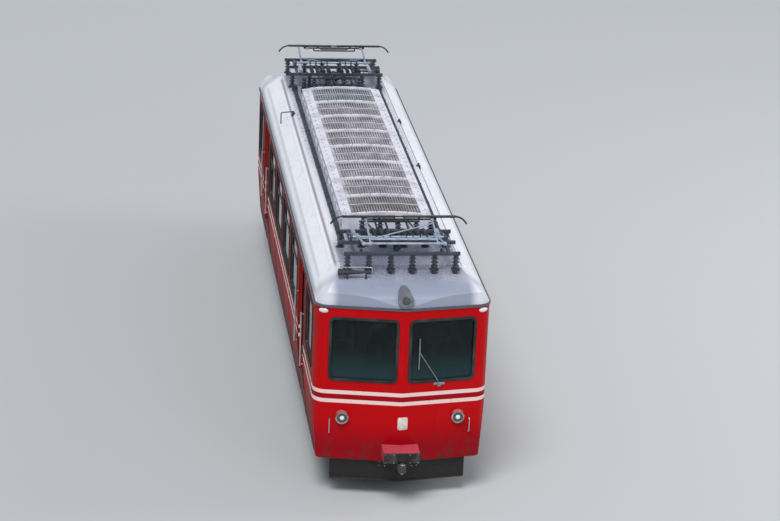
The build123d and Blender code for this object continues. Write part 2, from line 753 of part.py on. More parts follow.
def lower_arm():
    """The lower arm: a pivot shaft, two tubes with a cross tie, and the knee shaft."""
    end = LUG_Y + LUG_T / 2 + MOVING_GAP
    tube = rod((PANTO_X, LOWER_Y, PIVOT_Z), (KNEE_X, LOWER_Y, KNEE_Z), LOWER_TUBE_R)
    tie_x, tie_z = PANTO_X + ARM_RUN * LOWER_TIE_SHARE, PIVOT_Z + ARM_RISE * LOWER_TIE_SHARE
    return fused([
        across(PANTO_X, PIVOT_Z, PIVOT_SHAFT_R, -end, end),
        across(KNEE_X, KNEE_Z, KNEE_R, -LOWER_Y - SHAFT_OVERHANG, LOWER_Y + SHAFT_OVERHANG),
        tube,
        mirror(tube, about=Plane.XZ),
        across(tie_x, tie_z, BRACE_R, -LOWER_Y, LOWER_Y),
    ])


def upper_arm():
    """The upper arm: two tubes with a cross tie and a brace, in sleeves on the knee and head shafts."""
    tube = rod((KNEE_X, UPPER_Y, KNEE_Z), (PANTO_X, UPPER_Y, HEAD_Z), UPPER_TUBE_R)
    pieces = [tube, mirror(tube, about=Plane.XZ)]
    for y in (UPPER_Y, -UPPER_Y):
        for x, z, radius in ((KNEE_X, KNEE_Z, KNEE_R), (PANTO_X, HEAD_Z, HEAD_R)):
            pieces.append(across(x, z, radius + SLEEVE_T, y - SLEEVE_W / 2, y + SLEEVE_W / 2))
    low = (KNEE_X - ARM_RUN / 6, KNEE_Z + ARM_RISE / 6)
    high = (KNEE_X - ARM_RUN * 5 / 6, KNEE_Z + ARM_RISE * 5 / 6)
    pieces.append(across(*low, BRACE_R, -UPPER_Y, UPPER_Y))
    pieces.append(rod((low[0], -UPPER_Y, low[1]), (high[0], UPPER_Y, high[1]), BRACE_R))
    arm = fused(pieces)
    arm -= across(KNEE_X, KNEE_Z, KNEE_R + PIN_PLAY, -FAR, FAR)
    return arm - across(PANTO_X, HEAD_Z, HEAD_R + PIN_PLAY, -FAR, FAR)


def pantograph_head():
    """The collector head: two strips in line with an insulating joint between, and a bent tip at each end."""
    x = PANTO_X
    strip_z = HEAD_Z + STRIP_UP
    end = STRIP_POSTS[-1] + POST_T
    half_joint = STRIP_W / 2 - POST_T / 2
    joint = box(x - half_joint, x + half_joint, -STRIP_SPLIT, STRIP_SPLIT,
                strip_z + STRIP_T / 4, strip_z + STRIP_T * 3 / 4)
    pieces = [across(x, HEAD_Z, HEAD_R, -end, end), joint]
    for side in (1, -1):
        ys = sorted((side * STRIP_SPLIT, side * STRIP_HALF_L))
        pieces.append(box(x - STRIP_W / 2, x + STRIP_W / 2, *ys, strip_z, strip_z + STRIP_T))
        for y in STRIP_POSTS:
            pieces.append(box(x - HEAD_R, x + HEAD_R, side * y - POST_T / 2, side * y + POST_T / 2,
                              HEAD_Z, strip_z))
        root_y = STRIP_HALF_L - TIP_R
        middle_z = strip_z + STRIP_T / 2
        ring = Pos(x, side * root_y, middle_z) * (Rot(90, 0, 0) * Circle(TIP_R))
        bend = Axis((x, side * root_y, middle_z - TIP_BEND_R), (-side, 0, 0))
        turn = math.degrees(math.asin(TIP_OUT / TIP_BEND_R))
        pieces.append(revolve(ring, bend, revolution_arc=turn))
        pieces.append(Pos(x, side * (root_y + TIP_OUT), middle_z - TIP_DROP) * Sphere(TIP_R))
    return fused(pieces)


# Ends


def lamp(x, y, z, radius, body):
    """A round lamp facing +X, seated on the skin: its housing and its lens."""
    housing = rod((x - FAR / 10, y, z), (x, y, z), radius) - body
    recess = rod((x - LENS_T - LENS_BACK, y, z), (x, y, z), radius - LAMP_RIM)
    lens = rod((x - LENS_T - LENS_BACK, y, z), (x - LENS_BACK, y, z), radius - LAMP_RIM)
    return housing - recess, lens


def lamps():
    """Headlamps and a roof lamp at each end: all housings, and all lenses."""
    face_x = PROW_X - PROW_SLOPE * LAMP_Y + LAMP_OUT
    pairs = [lamp(face_x, side * LAMP_Y, LAMP_Z, LAMP_R, OUTER_BODY) for side in (1, -1)]
    pairs.append(lamp(PROW_X + TOP_LAMP_OUT, 0, TOP_LAMP_Z, TOP_LAMP_R, OUTER_ROOF))
    return both_ends(group([pair[0] for pair in pairs])), both_ends(group([pair[1] for pair in pairs]))


def coupler():
    """A buffer box on the +X end, over a tongue with an eye for the coupling pin."""
    eye_x = PROW_X + TONGUE_OUT
    block = box(END_JOINT_X, PROW_X + COUPLER_OUT, -COUPLER_HALF_W, COUPLER_HALF_W, COUPLER_Z0, COUPLER_Z1)
    tongue = box(END_JOINT_X, eye_x, -TONGUE_HALF_W, TONGUE_HALF_W, TONGUE_Z0, COUPLER_Z0)
    tongue += upright(eye_x, 0, TONGUE_HALF_W, TONGUE_Z0, COUPLER_Z0)
    return block + tongue - OUTER_BODY - upright(eye_x, 0, COUPLER_PIN_R, 0, FAR)


def rail_guard():
    """A plate under the +X end that follows the prow, on two posts from the floor."""
    sheet = plan_volume(PILOT_INSET, 0, FLOOR_BOTTOM) - plan_volume(PILOT_INSET + PILOT_T, 0, FLOOR_BOTTOM)
    plate = sheet & box(END_JOINT_X - CORNER_R, FAR, -PILOT_HALF_W, PILOT_HALF_W, PILOT_BOTTOM, SKIRT_Z)
    for y in (PILOT_POST_Y, -PILOT_POST_Y):
        post = box(0, FAR, y - PILOT_POST_W / 2, y + PILOT_POST_W / 2, SKIRT_Z, FLOOR_BOTTOM)
        plate += sheet & post
    return plate


# Underfloor


def door_step():
    """A step below the +X doorway at +Y, hung from the floor."""
    pieces = [box(DOOR_IN_X, DOOR_OUT_X, STEP_Y, STEP_Y + STEP_W, STEP_Z, STEP_Z + STEP_T)]
    for x in (DOOR_IN_X, DOOR_OUT_X - HANGER_T):
        pieces.append(box(x, x + HANGER_T, STEP_Y, STEP_Y + HANGER_W, STEP_Z + STEP_T, FLOOR_BOTTOM))
    return fused(pieces)


def equipment_boxes():
    """Closed boxes hung under the floor on both sides."""
    boxes = []
    for x, length, near, far, bottom in UNDERFLOOR_BOXES:
        case = box(x - length / 2, x + length / 2, near, far, bottom, FLOOR_BOTTOM)
        boxes.append(fillet(case.edges().filter_by(Axis.X).group_by(Axis.Z)[0], BOX_EDGE))
    return both_sides(group(boxes))


def air_reservoirs():
    """Two air tanks under the middle of the floor, each on two hangers."""
    tank = rod((RESERVOIR_X - RESERVOIR_L / 2, 0, RESERVOIR_Z),
               (RESERVOIR_X + RESERVOIR_L / 2, 0, RESERVOIR_Z), RESERVOIR_R)
    tank = fillet(tank.edges().filter_by(GeomType.CIRCLE), RESERVOIR_END_R)
    for x in (RESERVOIR_X - RESERVOIR_HANGER_X, RESERVOIR_X + RESERVOIR_HANGER_X):
        tank += box(x - HANGER_T / 2, x + HANGER_T / 2, -HANGER_W / 2, HANGER_W / 2,
                    RESERVOIR_Z, FLOOR_BOTTOM)
    return both_ends(tank)


# Running gear, drawn about the bogie's centre and moved to its place


def wheelset():
    """An axle with its two flanged wheels, journals and rack pinion, about its own axis along Y."""
    back, front = WHEEL_BACK, WHEEL_BACK + WHEEL_W
    web = (back + front) / 2
    journal_end = SILL_Y + AXLEBOX_DEPTH / 2 - AXLEBOX_CAP - JOURNAL_END_GAP
    half = [
        (0, 0), (AXLE_R, 0), (AXLE_R, back - HUB_SIDE), (HUB_R, back - HUB_SIDE), (HUB_R, web - WEB_T / 2),
        (WHEEL_R - RIM_T, web - WEB_T / 2), (WHEEL_R - RIM_T, back), (WHEEL_R + FLANGE_H, back),
        (WHEEL_R + FLANGE_H, back + FLANGE_T / 2), (WHEEL_R, back + FLANGE_T), (WHEEL_R, front),
        (WHEEL_R - RIM_T, front), (WHEEL_R - RIM_T, web + WEB_T / 2), (HUB_R, web + WEB_T / 2),
        (HUB_R, front + HUB_SIDE), (JOURNAL_R, front + HUB_SIDE), (JOURNAL_R, journal_end), (0, journal_end),
    ]
    side = revolve(polygon(half), Axis.Y)
    teeth = []
    step = 2 * math.pi / PINION_TEETH
    for i in range(PINION_TEETH):
        for radius, share in (
            (PINION_R - TOOTH_DOWN, -TOOTH_ROOT_SHARE),
            (PINION_R + TOOTH_UP, -TOOTH_TIP_SHARE),
            (PINION_R + TOOTH_UP, TOOTH_TIP_SHARE),
            (PINION_R - TOOTH_DOWN, TOOTH_ROOT_SHARE),
        ):
            angle = step * (i + share / 2)
            teeth.append((radius * math.cos(angle), radius * math.sin(angle)))
    pinion = along_y(polygon(teeth), -PINION_W / 2, PINION_W / 2)
    hub = across(0, 0, HUB_R, -PINION_HUB_W / 2, PINION_HUB_W / 2)
    return fused([side, mirror(side, about=Plane.XZ), pinion, hub])


def bogie_frame():
    """Outside sills, headstocks and a transom that carries the pivot, with spring seats, guides and shoes."""
    sill_in, sill_out = SILL_Y - SILL_W / 2, SILL_Y + SILL_W / 2
    spring_x = BODY_SPRING_R + SPRING_SEAT_T
    pieces = [box(-TRANSOM_HALF_W, TRANSOM_HALF_W, -sill_in, sill_in, TRANSOM_BOTTOM, TRANSOM_TOP)]
    for end in (-1, 1):
        xs = sorted((end * BOGIE_HALF_L, end * (BOGIE_HALF_L - HEADSTOCK_W)))
        pieces.append(box(*xs, -sill_in, sill_in, SILL_BOTTOM, SILL_TOP))
    for side in (-1, 1):
        y = side * SILL_Y
        pieces.append(box(-BOGIE_HALF_L, BOGIE_HALF_L, y - SILL_W / 2, y + SILL_W / 2,
                          SILL_BOTTOM, SILL_TOP))
        pieces.append(box(-spring_x, spring_x, y - spring_x, y + spring_x,
                          SILL_TOP - SPRING_SEAT_T, SILL_TOP))
        pieces.append(upright(0, y, BODY_SPRING_R, SILL_TOP, FLOOR_BOTTOM - SEAT_GAP))
        for axle_x in AXLE_XS:
            for x in (axle_x - AXLEBOX_HALF_W - GUIDE_T, axle_x + AXLEBOX_HALF_W):
                pieces.append(box(x, x + GUIDE_T, y - SILL_W / 2, y + SILL_W / 2, AXLE_Z - GUIDE_DOWN,
                                  SILL_BOTTOM))
            inner = math.copysign(1, -axle_x)
            tread_x = axle_x + inner * (WHEEL_R + FLANGE_H + MOVING_GAP)
            xs = sorted((tread_x, tread_x + inner * SHOE_T))
            wheel_y = side * (WHEEL_BACK + WHEEL_W / 2)
            pieces.append(box(*xs, wheel_y - SHOE_W / 2, wheel_y + SHOE_W / 2, SILL_BOTTOM - SHOE_H,
                              SILL_BOTTOM))
            ys = sorted((wheel_y - side * SHOE_W / 2, side * sill_in))
            pieces.append(box(*xs, *ys, SILL_BOTTOM, TRANSOM_TOP))
    return fused(pieces) - upright(0, 0, PIVOT_R + PIN_PLAY, 0, FAR)


def axleboxes():
    """Four axleboxes, each with a bearing bore and a spring up to the sill."""
    boxes = []
    journal_end = SILL_Y + AXLEBOX_DEPTH / 2 - AXLEBOX_CAP
    for x in AXLE_XS:
        case = box(x - AXLEBOX_HALF_W, x + AXLEBOX_HALF_W, SILL_Y - AXLEBOX_DEPTH / 2,
                   SILL_Y + AXLEBOX_DEPTH / 2, AXLE_Z - AXLEBOX_DOWN, AXLE_Z + AXLEBOX_UP)
        case += upright(x, SILL_Y, AXLE_SPRING_R, AXLE_Z + AXLEBOX_UP, SILL_BOTTOM)
        boxes.append(case - across(x, AXLE_Z, JOURNAL_R + PIN_PLAY, 0, journal_end))
    return both_sides(group(boxes))


def motors():
    """A motor for each axle, nosed on the transom and hung on the axle by its gear case."""
    y0, y1 = GEARCASE_Y - GEARCASE_W / 2, GEARCASE_Y + GEARCASE_W / 2
    axle_x = WHEELBASE / 2
    case = make_hull([
        *(Pos(axle_x, AXLE_Z) * Circle(GEARCASE_R)).edges(),
        *(Pos(MOTOR_X, MOTOR_Z) * Circle(GEARCASE_SMALL_R)).edges(),
    ])
    motor = fused([
        across(MOTOR_X, MOTOR_Z, MOTOR_R, -MOTOR_HALF_L, MOTOR_HALF_L),
        box(TRANSOM_HALF_W, MOTOR_X, -NOSE_HALF_W, NOSE_HALF_W, TRANSOM_BOTTOM, TRANSOM_BOTTOM + NOSE_H),
        along_y(case, y0, y1),
    ])
    return both_ends(motor - across(axle_x, AXLE_Z, AXLE_R + PIN_PLAY, -FAR, FAR))


def write(name, shape):
    """Write one sub-part to its own file."""
    solids = shape.solids()
    part = Compound(solids) if len(solids) > 1 else solids[0]
    part.label = name
    export_step(part, os.path.join("parts", name + ".step"))


def main():
    """Build and write every sub-part."""
    os.makedirs("parts", exist_ok=True)
    wall = side_panel(-DOOR_IN_X, DOOR_IN_X)
    write("side_wall_left", mirror(wall, about=Plane.XZ))
    write("side_wall_right", wall)
    write("cab_side_panels", both_ends(both_sides(side_panel(DOOR_OUT_X, END_JOINT_X))))
    write("doorway_frames", both_ends(both_sides(doorway_frame())))
    wall = end_wall()
    write("end_wall_front", wall)
    write("end_wall_rear", other_end(wall))
    write("underframe", underframe())
    write("cab_bulkheads", both_ends(bulkhead()))
    write("roof", roof())
    side_panes, end_panes = glazing()
    write("side_glazing", side_panes)
    write("end_glazing", end_panes)
    write("passenger_seats", seats())
    write("driver_stations", both_ends(driver_station()))
    write("resistor_hood", resistor_hood())
    write("hood_panels", hood_panels())
    write("roof_fittings", roof_fittings())
    write("roof_insulators", both_ends(insulators()))
    write("pantograph_bases", both_ends(pantograph_base()))
    housings, lenses = lamps()
    write("lamp_housings", housings)
    write("lamp_lenses", lenses)
    write("couplers", both_ends(coupler()))
    write("rail_guards", both_ends(rail_guard()))
    write("door_steps", both_ends(both_sides(door_step())))
    write("equipment_boxes", equipment_boxes())
    write("air_reservoirs", air_reservoirs())

    write("handrails", both_ends(both_sides(handrails())))
    leaf, pane = door_leaf(), door_glass()
    for side, flip in (("right", False), ("left", True)):
        side_leaf = mirror(leaf, about=Plane.XZ) if flip else leaf
        side_pane = mirror(pane, about=Plane.XZ) if flip else pane
        for end, turn in (("front", False), ("rear", True)):
            write(f"door_leaf_{end}_{side}", mirror(side_leaf, about=Plane.YZ) if turn else side_leaf)
            write(f"door_glass_{end}_{side}", mirror(side_pane, about=Plane.YZ) if turn else side_pane)

    arms = {"lower_arm": lower_arm(), "upper_arm": upper_arm(), "head": pantograph_head()}
    for name, shape in arms.items():
        write(f"pantograph_{name}_front", shape)
        write(f"pantograph_{name}_rear", other_end(shape))

    pieces = {"frame": bogie_frame(), "axleboxes": axleboxes(), "motors": motors()}
    axle = wheelset()
    for end, x in (("front", BOGIE_X), ("rear", -BOGIE_X)):
        for name, shape in pieces.items():
            write(f"bogie_{name}_{end}", Pos(x, 0, 0) * shape)
        outward = math.copysign(WHEELBASE / 2, x)
        for place, offset in (("outer", outward), ("inner", -outward)):
            write(f"wheelset_{end}_{place}", Pos(x + offset, 0, AXLE_Z) * axle)


main()
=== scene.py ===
# %% [markdown]
# An electric rack railway car is dressed here: red enamel over steel panels, a weathered pale roof with its
# resistor hood and two pantographs, and dark running gear below. The solids come in as a fixed frame, in
# metres, with the front at +X and the wheels on z = 0. Everything new is placed by what the frame measures,
# so it needs no fitting.

# %% Load the frame
import math

import bpy
from mathutils import Euler, Matrix, Vector


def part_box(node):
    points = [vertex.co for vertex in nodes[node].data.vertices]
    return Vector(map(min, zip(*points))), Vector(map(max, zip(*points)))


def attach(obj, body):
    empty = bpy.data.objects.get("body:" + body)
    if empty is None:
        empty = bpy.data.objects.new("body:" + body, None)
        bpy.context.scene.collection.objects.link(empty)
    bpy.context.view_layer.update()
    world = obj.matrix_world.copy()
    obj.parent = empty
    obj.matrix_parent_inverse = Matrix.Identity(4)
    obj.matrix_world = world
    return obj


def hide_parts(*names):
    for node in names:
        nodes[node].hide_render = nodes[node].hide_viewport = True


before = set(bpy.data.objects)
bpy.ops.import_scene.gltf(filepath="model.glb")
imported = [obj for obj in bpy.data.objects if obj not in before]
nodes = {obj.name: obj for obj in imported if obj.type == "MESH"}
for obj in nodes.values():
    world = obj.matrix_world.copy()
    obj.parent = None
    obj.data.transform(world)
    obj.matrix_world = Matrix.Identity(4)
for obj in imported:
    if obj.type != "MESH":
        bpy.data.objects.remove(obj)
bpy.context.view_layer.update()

# %% [markdown]
# The photograph looks at the car's front from far ahead and above. The camera stands where that view was
# taken from, so the foreshortening of the long roof is the same. It starts with the photograph's own turn and
# pans by the shortest way to a target on the car, which keeps the car as upright as it was, and a longer lens
# fills the picture with it.

# %% Camera
CAMERA_PLACE = Vector((40.3, -4.815, 15.87))
PHOTO_TURN = Euler((math.radians(71.41), 0.0, math.radians(90.0)))
CAMERA_TARGET = Vector((5.7, -0.20, 3.62))
CAMERA_LENS = 116.0

bpy.ops.object.camera_add(location=CAMERA_PLACE)
camera = bpy.context.object
camera.name = "view_from_above"
photo_aim = PHOTO_TURN.to_matrix() @ Vector((0, 0, -1))
pan = photo_aim.rotation_difference(CAMERA_TARGET - CAMERA_PLACE)
camera.rotation_euler = (pan @ PHOTO_TURN.to_quaternion()).to_euler()
camera.data.lens = CAMERA_LENS
camera.data.clip_end = 2000.0
bpy.context.scene.camera = camera
print("camera:", [round(math.degrees(angle), 2) for angle in camera.rotation_euler])

# %% [markdown]
# The studio is a pale floor that runs out to a pale sky, so no horizon shows. A broad soft sun from the
# camera's left does the work of a bright overcast day, and two large area lights lift the shaded side and put
# long soft reflections into the paint. The plain display transform keeps the red as strong as enamel is; a
# film-like one would wash it out.

# %% Floor and light
FLOOR_SIZE = 900.0
FLOOR_COLOUR = (0.50, 0.51, 0.52, 1.0)
SKY_COLOUR = (0.80, 0.87, 0.97, 1.0)
SKY_STRENGTH = 0.40
SUN_STRENGTH = 2.3
SUN_SOFTNESS = math.radians(28)


def light(kind, name, place, target, energy, size=1.0):
    """A light at a place, turned to a target."""
    bpy.ops.object.light_add(type=kind, location=place)
    lamp = bpy.context.object
    lamp.name = name
    lamp.rotation_euler = (Vector(target) - Vector(place)).to_track_quat("-Z", "Y").to_euler()
    lamp.data.energy = energy
    if kind == "AREA":
        lamp.data.shape = "DISK"
        lamp.data.size = size
    return lamp


bpy.ops.mesh.primitive_plane_add(size=FLOOR_SIZE, location=(0, 0, 0))
floor = bpy.context.object
floor.name = "studio_floor"
floor_finish = bpy.data.materials.new("studio floor")
floor_finish.use_nodes = True
floor_finish.node_tree.nodes["Principled BSDF"].inputs["Base Color"].default_value = FLOOR_COLOUR
floor_finish.node_tree.nodes["Principled BSDF"].inputs["Roughness"].default_value = 0.9
floor.data.materials.append(floor_finish)

world = bpy.data.worlds.new("studio sky")
world.use_nodes = True
world.node_tree.nodes["Background"].inputs["Color"].default_value = SKY_COLOUR
world.node_tree.nodes["Background"].inputs["Strength"].default_value = SKY_STRENGTH
bpy.context.scene.world = world
bpy.context.scene.view_settings.view_transform = "Standard"

sun = light("SUN", "overcast_sun", (20, -9, 40), (0, 0, 2), SUN_STRENGTH)
sun.data.angle = SUN_SOFTNESS
light("AREA", "front_panel", (26, 8, 12), (6, 0, 2), 700, size=12)
light("AREA", "side_panel", (0, 24, 16), (0, 0, 2), 2000, size=14)

# %% [markdown]
# Shader trees get long, so a few small helpers write them. One adds a node and fills its sockets with values
# or links, one adds a noise, one does a sum, one turns a value into a mask between two limits, and one mixes
# two colours by a mask.


# %% Helpers for shader nodes
def node(tree, kind, inputs=None, **settings):
    """One shader node with its settings; inputs maps a socket to a value or to another node's output."""
    made = tree.nodes.new("ShaderNode" + kind)
    for name, value in settings.items():
        setattr(made, name, value)
    for socket, value in (inputs or {}).items():
        if isinstance(value, bpy.types.NodeSocket):
            tree.links.new(value, made.inputs[socket])
        else:
            made.inputs[socket].default_value = value
    return made


def noise(tree, place, scale, detail, roughness=0.5):
    """A cloudy noise over a place, around 0.5."""
    sockets = {"Vector": place, "Scale": scale, "Detail": detail, "Roughness": roughness}
    return node(tree, "TexNoise", sockets).outputs["Fac"]


def maths(tree, operation, a, b=0.0):
    """The result of one sum."""
    return node(tree, "Math", {0: a, 1: b}, operation=operation).outputs[0]


def mask_between(tree, value, low, high, to_low=0.0, to_high=1.0):
    """How far a value has come from low to high, held between to_low and to_high."""
    sockets = {"Value": value, "From Min": low, "From Max": high, "To Min": to_low, "To Max": to_high}
    return node(tree, "MapRange", sockets, interpolation_type="SMOOTHSTEP").outputs["Result"]


def mixed(tree, share, a, b):
    """Two colours mixed by a share."""
    return node(tree, "Mix", {0: share, 6: a, 7: b}, data_type="RGBA").outputs[2]


def colour(red, green, blue):
    """A linear colour as a shader takes it."""
    return (red, green, blue, 1.0)


print("shader helpers ready")

# %% [markdown]
# Old paint has the same few faults everywhere: patches that weathered more than others, streaks that rain
# drew down, a fine grain, dust that settles on what faces up, and bare rounded edges. Each is a node group
# with its own inputs, built once, so a change to the dust changes every dusty material. A group gives out
# only masks and normals, and the shader itself stays in the material.


# %% Shared effects
def start_group(name, outputs=("Mask",), **inputs):
    """An empty node group that takes a place and numbers; returns its tree, its inputs and its outputs."""
    tree = bpy.data.node_groups.new(name, "ShaderNodeTree")
    tree.interface.new_socket("Place", in_out="INPUT", socket_type="NodeSocketVector")
    for socket, value in inputs.items():
        made = tree.interface.new_socket(socket, in_out="INPUT", socket_type="NodeSocketFloat")
        made.default_value = value
    for socket in outputs:
        kind = "NodeSocketVector" if socket == "Normal" else "NodeSocketFloat"
        tree.interface.new_socket(socket, in_out="OUTPUT", socket_type=kind)
    return tree, tree.nodes.new("NodeGroupInput").outputs, tree.nodes.new("NodeGroupOutput").inputs


def cloudy_patches():
    """Soft uneven patches: Mask is 1 where the noise is above High, 0 below Low."""
    tree, given, out = start_group("Cloudy Patches", Scale=1.0, Detail=4.0, Low=0.4, High=0.6)
    cloud = noise(tree, given["Place"], given["Scale"], given["Detail"], 0.6)
    tree.links.new(mask_between(tree, cloud, given["Low"], given["High"]), out["Mask"])
    return tree


def rain_streaks():
    """Narrow streaks that run down a wall, broken up by a larger noise."""
    tree, given, out = start_group("Rain Streaks", Across=14.0, Down=0.7, Low=0.5, High=0.75)
    stretch = node(tree, "CombineXYZ", {"X": given["Across"], "Y": given["Across"], "Z": given["Down"]})
    place = node(tree, "VectorMath", {0: given["Place"], 1: stretch.outputs[0]}, operation="MULTIPLY")
    lines = noise(tree, place.outputs[0], 1.0, 3.0, 0.55)
    streaks = mask_between(tree, lines, given["Low"], given["High"])
    broken = mask_between(tree, noise(tree, given["Place"], 1.7, 2.0), 0.38, 0.62)
    tree.links.new(maths(tree, "MULTIPLY", streaks, broken), out["Mask"])
    return tree


def fine_grain():
    """The small unevenness of a surface as a height from 0 to 1."""
    tree, given, out = start_group("Fine Grain", ("Height",), Scale=90.0)
    tree.links.new(noise(tree, given["Place"], given["Scale"], 3.0), out["Height"])
    return tree


def settled_dust():
    """Dust on what faces up, thicker in patches: Mask goes from 0, clean, to Amount."""
    tree, given, out = start_group("Settled Dust", Amount=0.6, Scale=3.0)
    facing = node(tree, "SeparateXYZ", {0: node(tree, "NewGeometry").outputs["Normal"]}).outputs["Z"]
    upward = mask_between(tree, facing, 0.25, 0.95)
    patchy = mask_between(tree, noise(tree, given["Place"], given["Scale"], 5.0, 0.65), 0.3, 0.7, 0.35, 1.0)
    dust = maths(tree, "MULTIPLY", maths(tree, "MULTIPLY", upward, patchy), given["Amount"])
    tree.links.new(dust, out["Mask"])
    return tree


def worn_edges():
    """Rounded edges: Mask is 1 on an outer edge where the noise lets it wear, Normal is the rounded one."""
    tree, given, out = start_group("Worn Edges", ("Mask", "Normal"), Radius=0.004, Scale=25.0)
    rounded = node(tree, "Bevel", {"Radius": given["Radius"]}, samples=4).outputs["Normal"]
    flat = node(tree, "NewGeometry").outputs["True Normal"]
    turn = node(tree, "VectorMath", {0: rounded, 1: flat}, operation="DOT_PRODUCT").outputs["Value"]
    worn = mask_between(tree, noise(tree, given["Place"], given["Scale"], 4.0, 0.7), 0.42, 0.6)
    tree.links.new(maths(tree, "MULTIPLY", mask_between(tree, turn, 0.97, 0.86), worn), out["Mask"])
    tree.links.new(rounded, out["Normal"])
    return tree


PATCHES, STREAKS, GRAIN = cloudy_patches(), rain_streaks(), fine_grain()
DUST, EDGES = settled_dust(), worn_edges()
print("groups:", [g.name for g in bpy.data.node_groups])

# %% [markdown]
# Every finish starts alike, with a Principled shader, the object's own coordinates and its place split into
# three numbers. A small class holds these and adds the few steps that every finish takes, so a finish below
# reads as a list of what lies on the metal. Numbers that are the same all over go straight onto the shader.
# Most small finishes are of one kind, so one function makes them from their numbers.


# %% Start of a finish
class Finish:
    """A material on its way: its tree, its shader, the place of each point and that place's parts."""

    def __init__(self, name, **constants):
        self.material = bpy.data.materials.new(name)
        self.material.use_nodes = True
        self.tree = self.material.node_tree
        self.shader = self.tree.nodes["Principled BSDF"]
        for socket, value in constants.items():
            self.shader.inputs[socket.replace("_", " ")].default_value = value
        self.place = node(self.tree, "TexCoord").outputs["Object"]
        self.x, self.y, self.z = node(self.tree, "SeparateXYZ", {0: self.place}).outputs
        normal = node(self.tree, "NewGeometry").outputs["Normal"]
        self.nx, self.ny, self.nz = node(self.tree, "SeparateXYZ", {0: normal}).outputs

    def effect(self, group, **inputs):
        """A shared effect placed in this material; returns its first output."""
        return self.effect_node(group, **inputs).outputs[0]

    def effect_node(self, group, **inputs):
        """The same, as the node itself, for an effect with two outputs."""
        made = node(self.tree, "Group", node_tree=group)
        self.tree.links.new(self.place, made.inputs["Place"])
        for socket, value in inputs.items():
            made.inputs[socket].default_value = value
        return made

    def sum(self, operation, a, b=0.0):
        return maths(self.tree, operation, a, b)

    def times(self, a, b):
        return self.sum("MULTIPLY", a, b)

    def larger(self, a, b):
        return self.sum("MAXIMUM", a, b)

    def less(self, a, b):
        return self.sum("SUBTRACT", a, b)

    def absolute(self, a):
        return self.sum("ABSOLUTE", a)

    def mask(self, value, low, high, to_low=0.0, to_high=1.0):
        return mask_between(self.tree, value, low, high, to_low, to_high)

    def blend(self, share, clear, full):
        """A number that goes from clear to full as the share goes from 0 to 1."""
        return self.mask(share, 0.0, 1.0, clear, full)

    def patches(self, scale, low, high, detail=4.0):
        return self.effect(PATCHES, Scale=scale, Detail=detail, Low=low, High=high)

    def mix(self, share, a, b):
        return mixed(self.tree, share, a, b)

    def ground(self, share, a, b):
        """The paint itself: a colour that goes from a to b by a share."""
        self.body = self.mix(share, a, b)

    def lay(self, tint, share, strength=1.0):
        """Another colour over what is there, as far as a mask and a strength let it."""
        if strength != 1.0:
            share = self.times(share, strength)
        self.body = self.mix(share, self.body, tint)

    def band(self, value, low, high, soft):
        """1 between two values, with soft ends."""
        rises = self.mask(value, low - soft, low + soft)
        return self.times(rises, self.mask(value, high - soft, high + soft, 1.0, 0.0))

    def set(self, socket, value):
        self.tree.links.new(value, self.shader.inputs[socket])

    def bump(self, height, strength, distance, normal=None):
        """A bump from a height; returns its normal and gives it to the shader."""
        sockets = {"Height": height, "Strength": strength, "Distance": distance}
        if normal is not None:
            sockets["Normal"] = normal
        made = node(self.tree, "Bump", sockets).outputs[0]
        self.set("Normal", made)
        return made

    def grain(self, scale, strength, distance, normal=None):
        """A fine grain over whatever bump is there."""
        return self.bump(self.effect(GRAIN, Scale=scale), strength, distance, normal)

    def done(self):
        """The material, its layers joined to the shader."""
        self.set("Base Color", self.body)
        return self.material


def weathered(name, base, shade, patches, rough, grain, streaks=None, spots=None, edges=None, dust=None,
              metal=None, **constants):
    """The common kind: two colours in patches under streaks, spots, bare edges, settled dust and a grain.

    patches holds a scale, two limits and a detail, and grain a scale, a strength and a distance. rough and
    metal go from fresh to worn paint. The others start with a colour and how strong it is, and end with the
    inputs of their effect.
    """
    coat = Finish(name, **constants)
    worn, normal = coat.patches(*patches), None
    coat.ground(worn, base, shade)
    if streaks:
        tint, strength, across, down, low, high = streaks
        coat.lay(tint, coat.effect(STREAKS, Across=across, Down=down, Low=low, High=high), strength)
    if spots:
        tint, strength, *cloud = spots
        coat.lay(tint, coat.patches(*cloud), strength)
    if edges:
        tint, strength, radius, scale = edges
        wear = coat.effect_node(EDGES, Radius=radius, Scale=scale)
        coat.lay(tint, wear.outputs["Mask"], strength)
        normal = wear.outputs["Normal"]
    roughness = coat.blend(worn, *rough)
    if dust:
        tint, amount, scale = dust
        settled_on = coat.effect(DUST, Amount=amount, Scale=scale)
        coat.lay(tint, settled_on)
        roughness = coat.larger(roughness, settled_on)
    coat.set("Roughness", roughness)
    if metal:
        coat.set("Metallic", coat.blend(worn, *metal))
    coat.grain(*grain, normal)
    return coat.done()


print("finish starter ready")

# %% [markdown]
# The body is coach enamel: a strong red with a thin gloss, two cream stripes round the whole car below the
# windows with crimson between them, grime where spray and brake dust settle low down, a darker crimson
# towards the bottom that is painted shade, for the skirt that leans in away from the light, sides of a dark
# chalky brown that is partly chalky paint dulled by damp dirt and partly painted shade, and the cabin's cream
# on the inner faces of the same panels. One material does it all, because the panels meet edge to edge and a
# seam in the pattern would show. Masks come from place and normal: height gives the stripes, a face short of
# the cabs belongs to a side, and a face that looks at the cabin is an inner one.

# %% Red body enamel
STRIPES = ((1.500, 1.560), (1.640, 1.700))
RED = colour(0.51, 0.001, 0.003)
RED_FADED = colour(0.54, 0.004, 0.006)
RED_CHALK_AND_SHADE = colour(0.185, 0.034, 0.026)
CRIMSON = colour(0.25, 0.001, 0.008)
STRIPE_CREAM = colour(0.88, 0.66, 0.62)
GRIME = colour(0.045, 0.034, 0.030)
CABIN_CREAM = colour(0.66, 0.61, 0.47)
DUST_GREY = colour(0.36, 0.33, 0.30)
CAB_START = 5.60


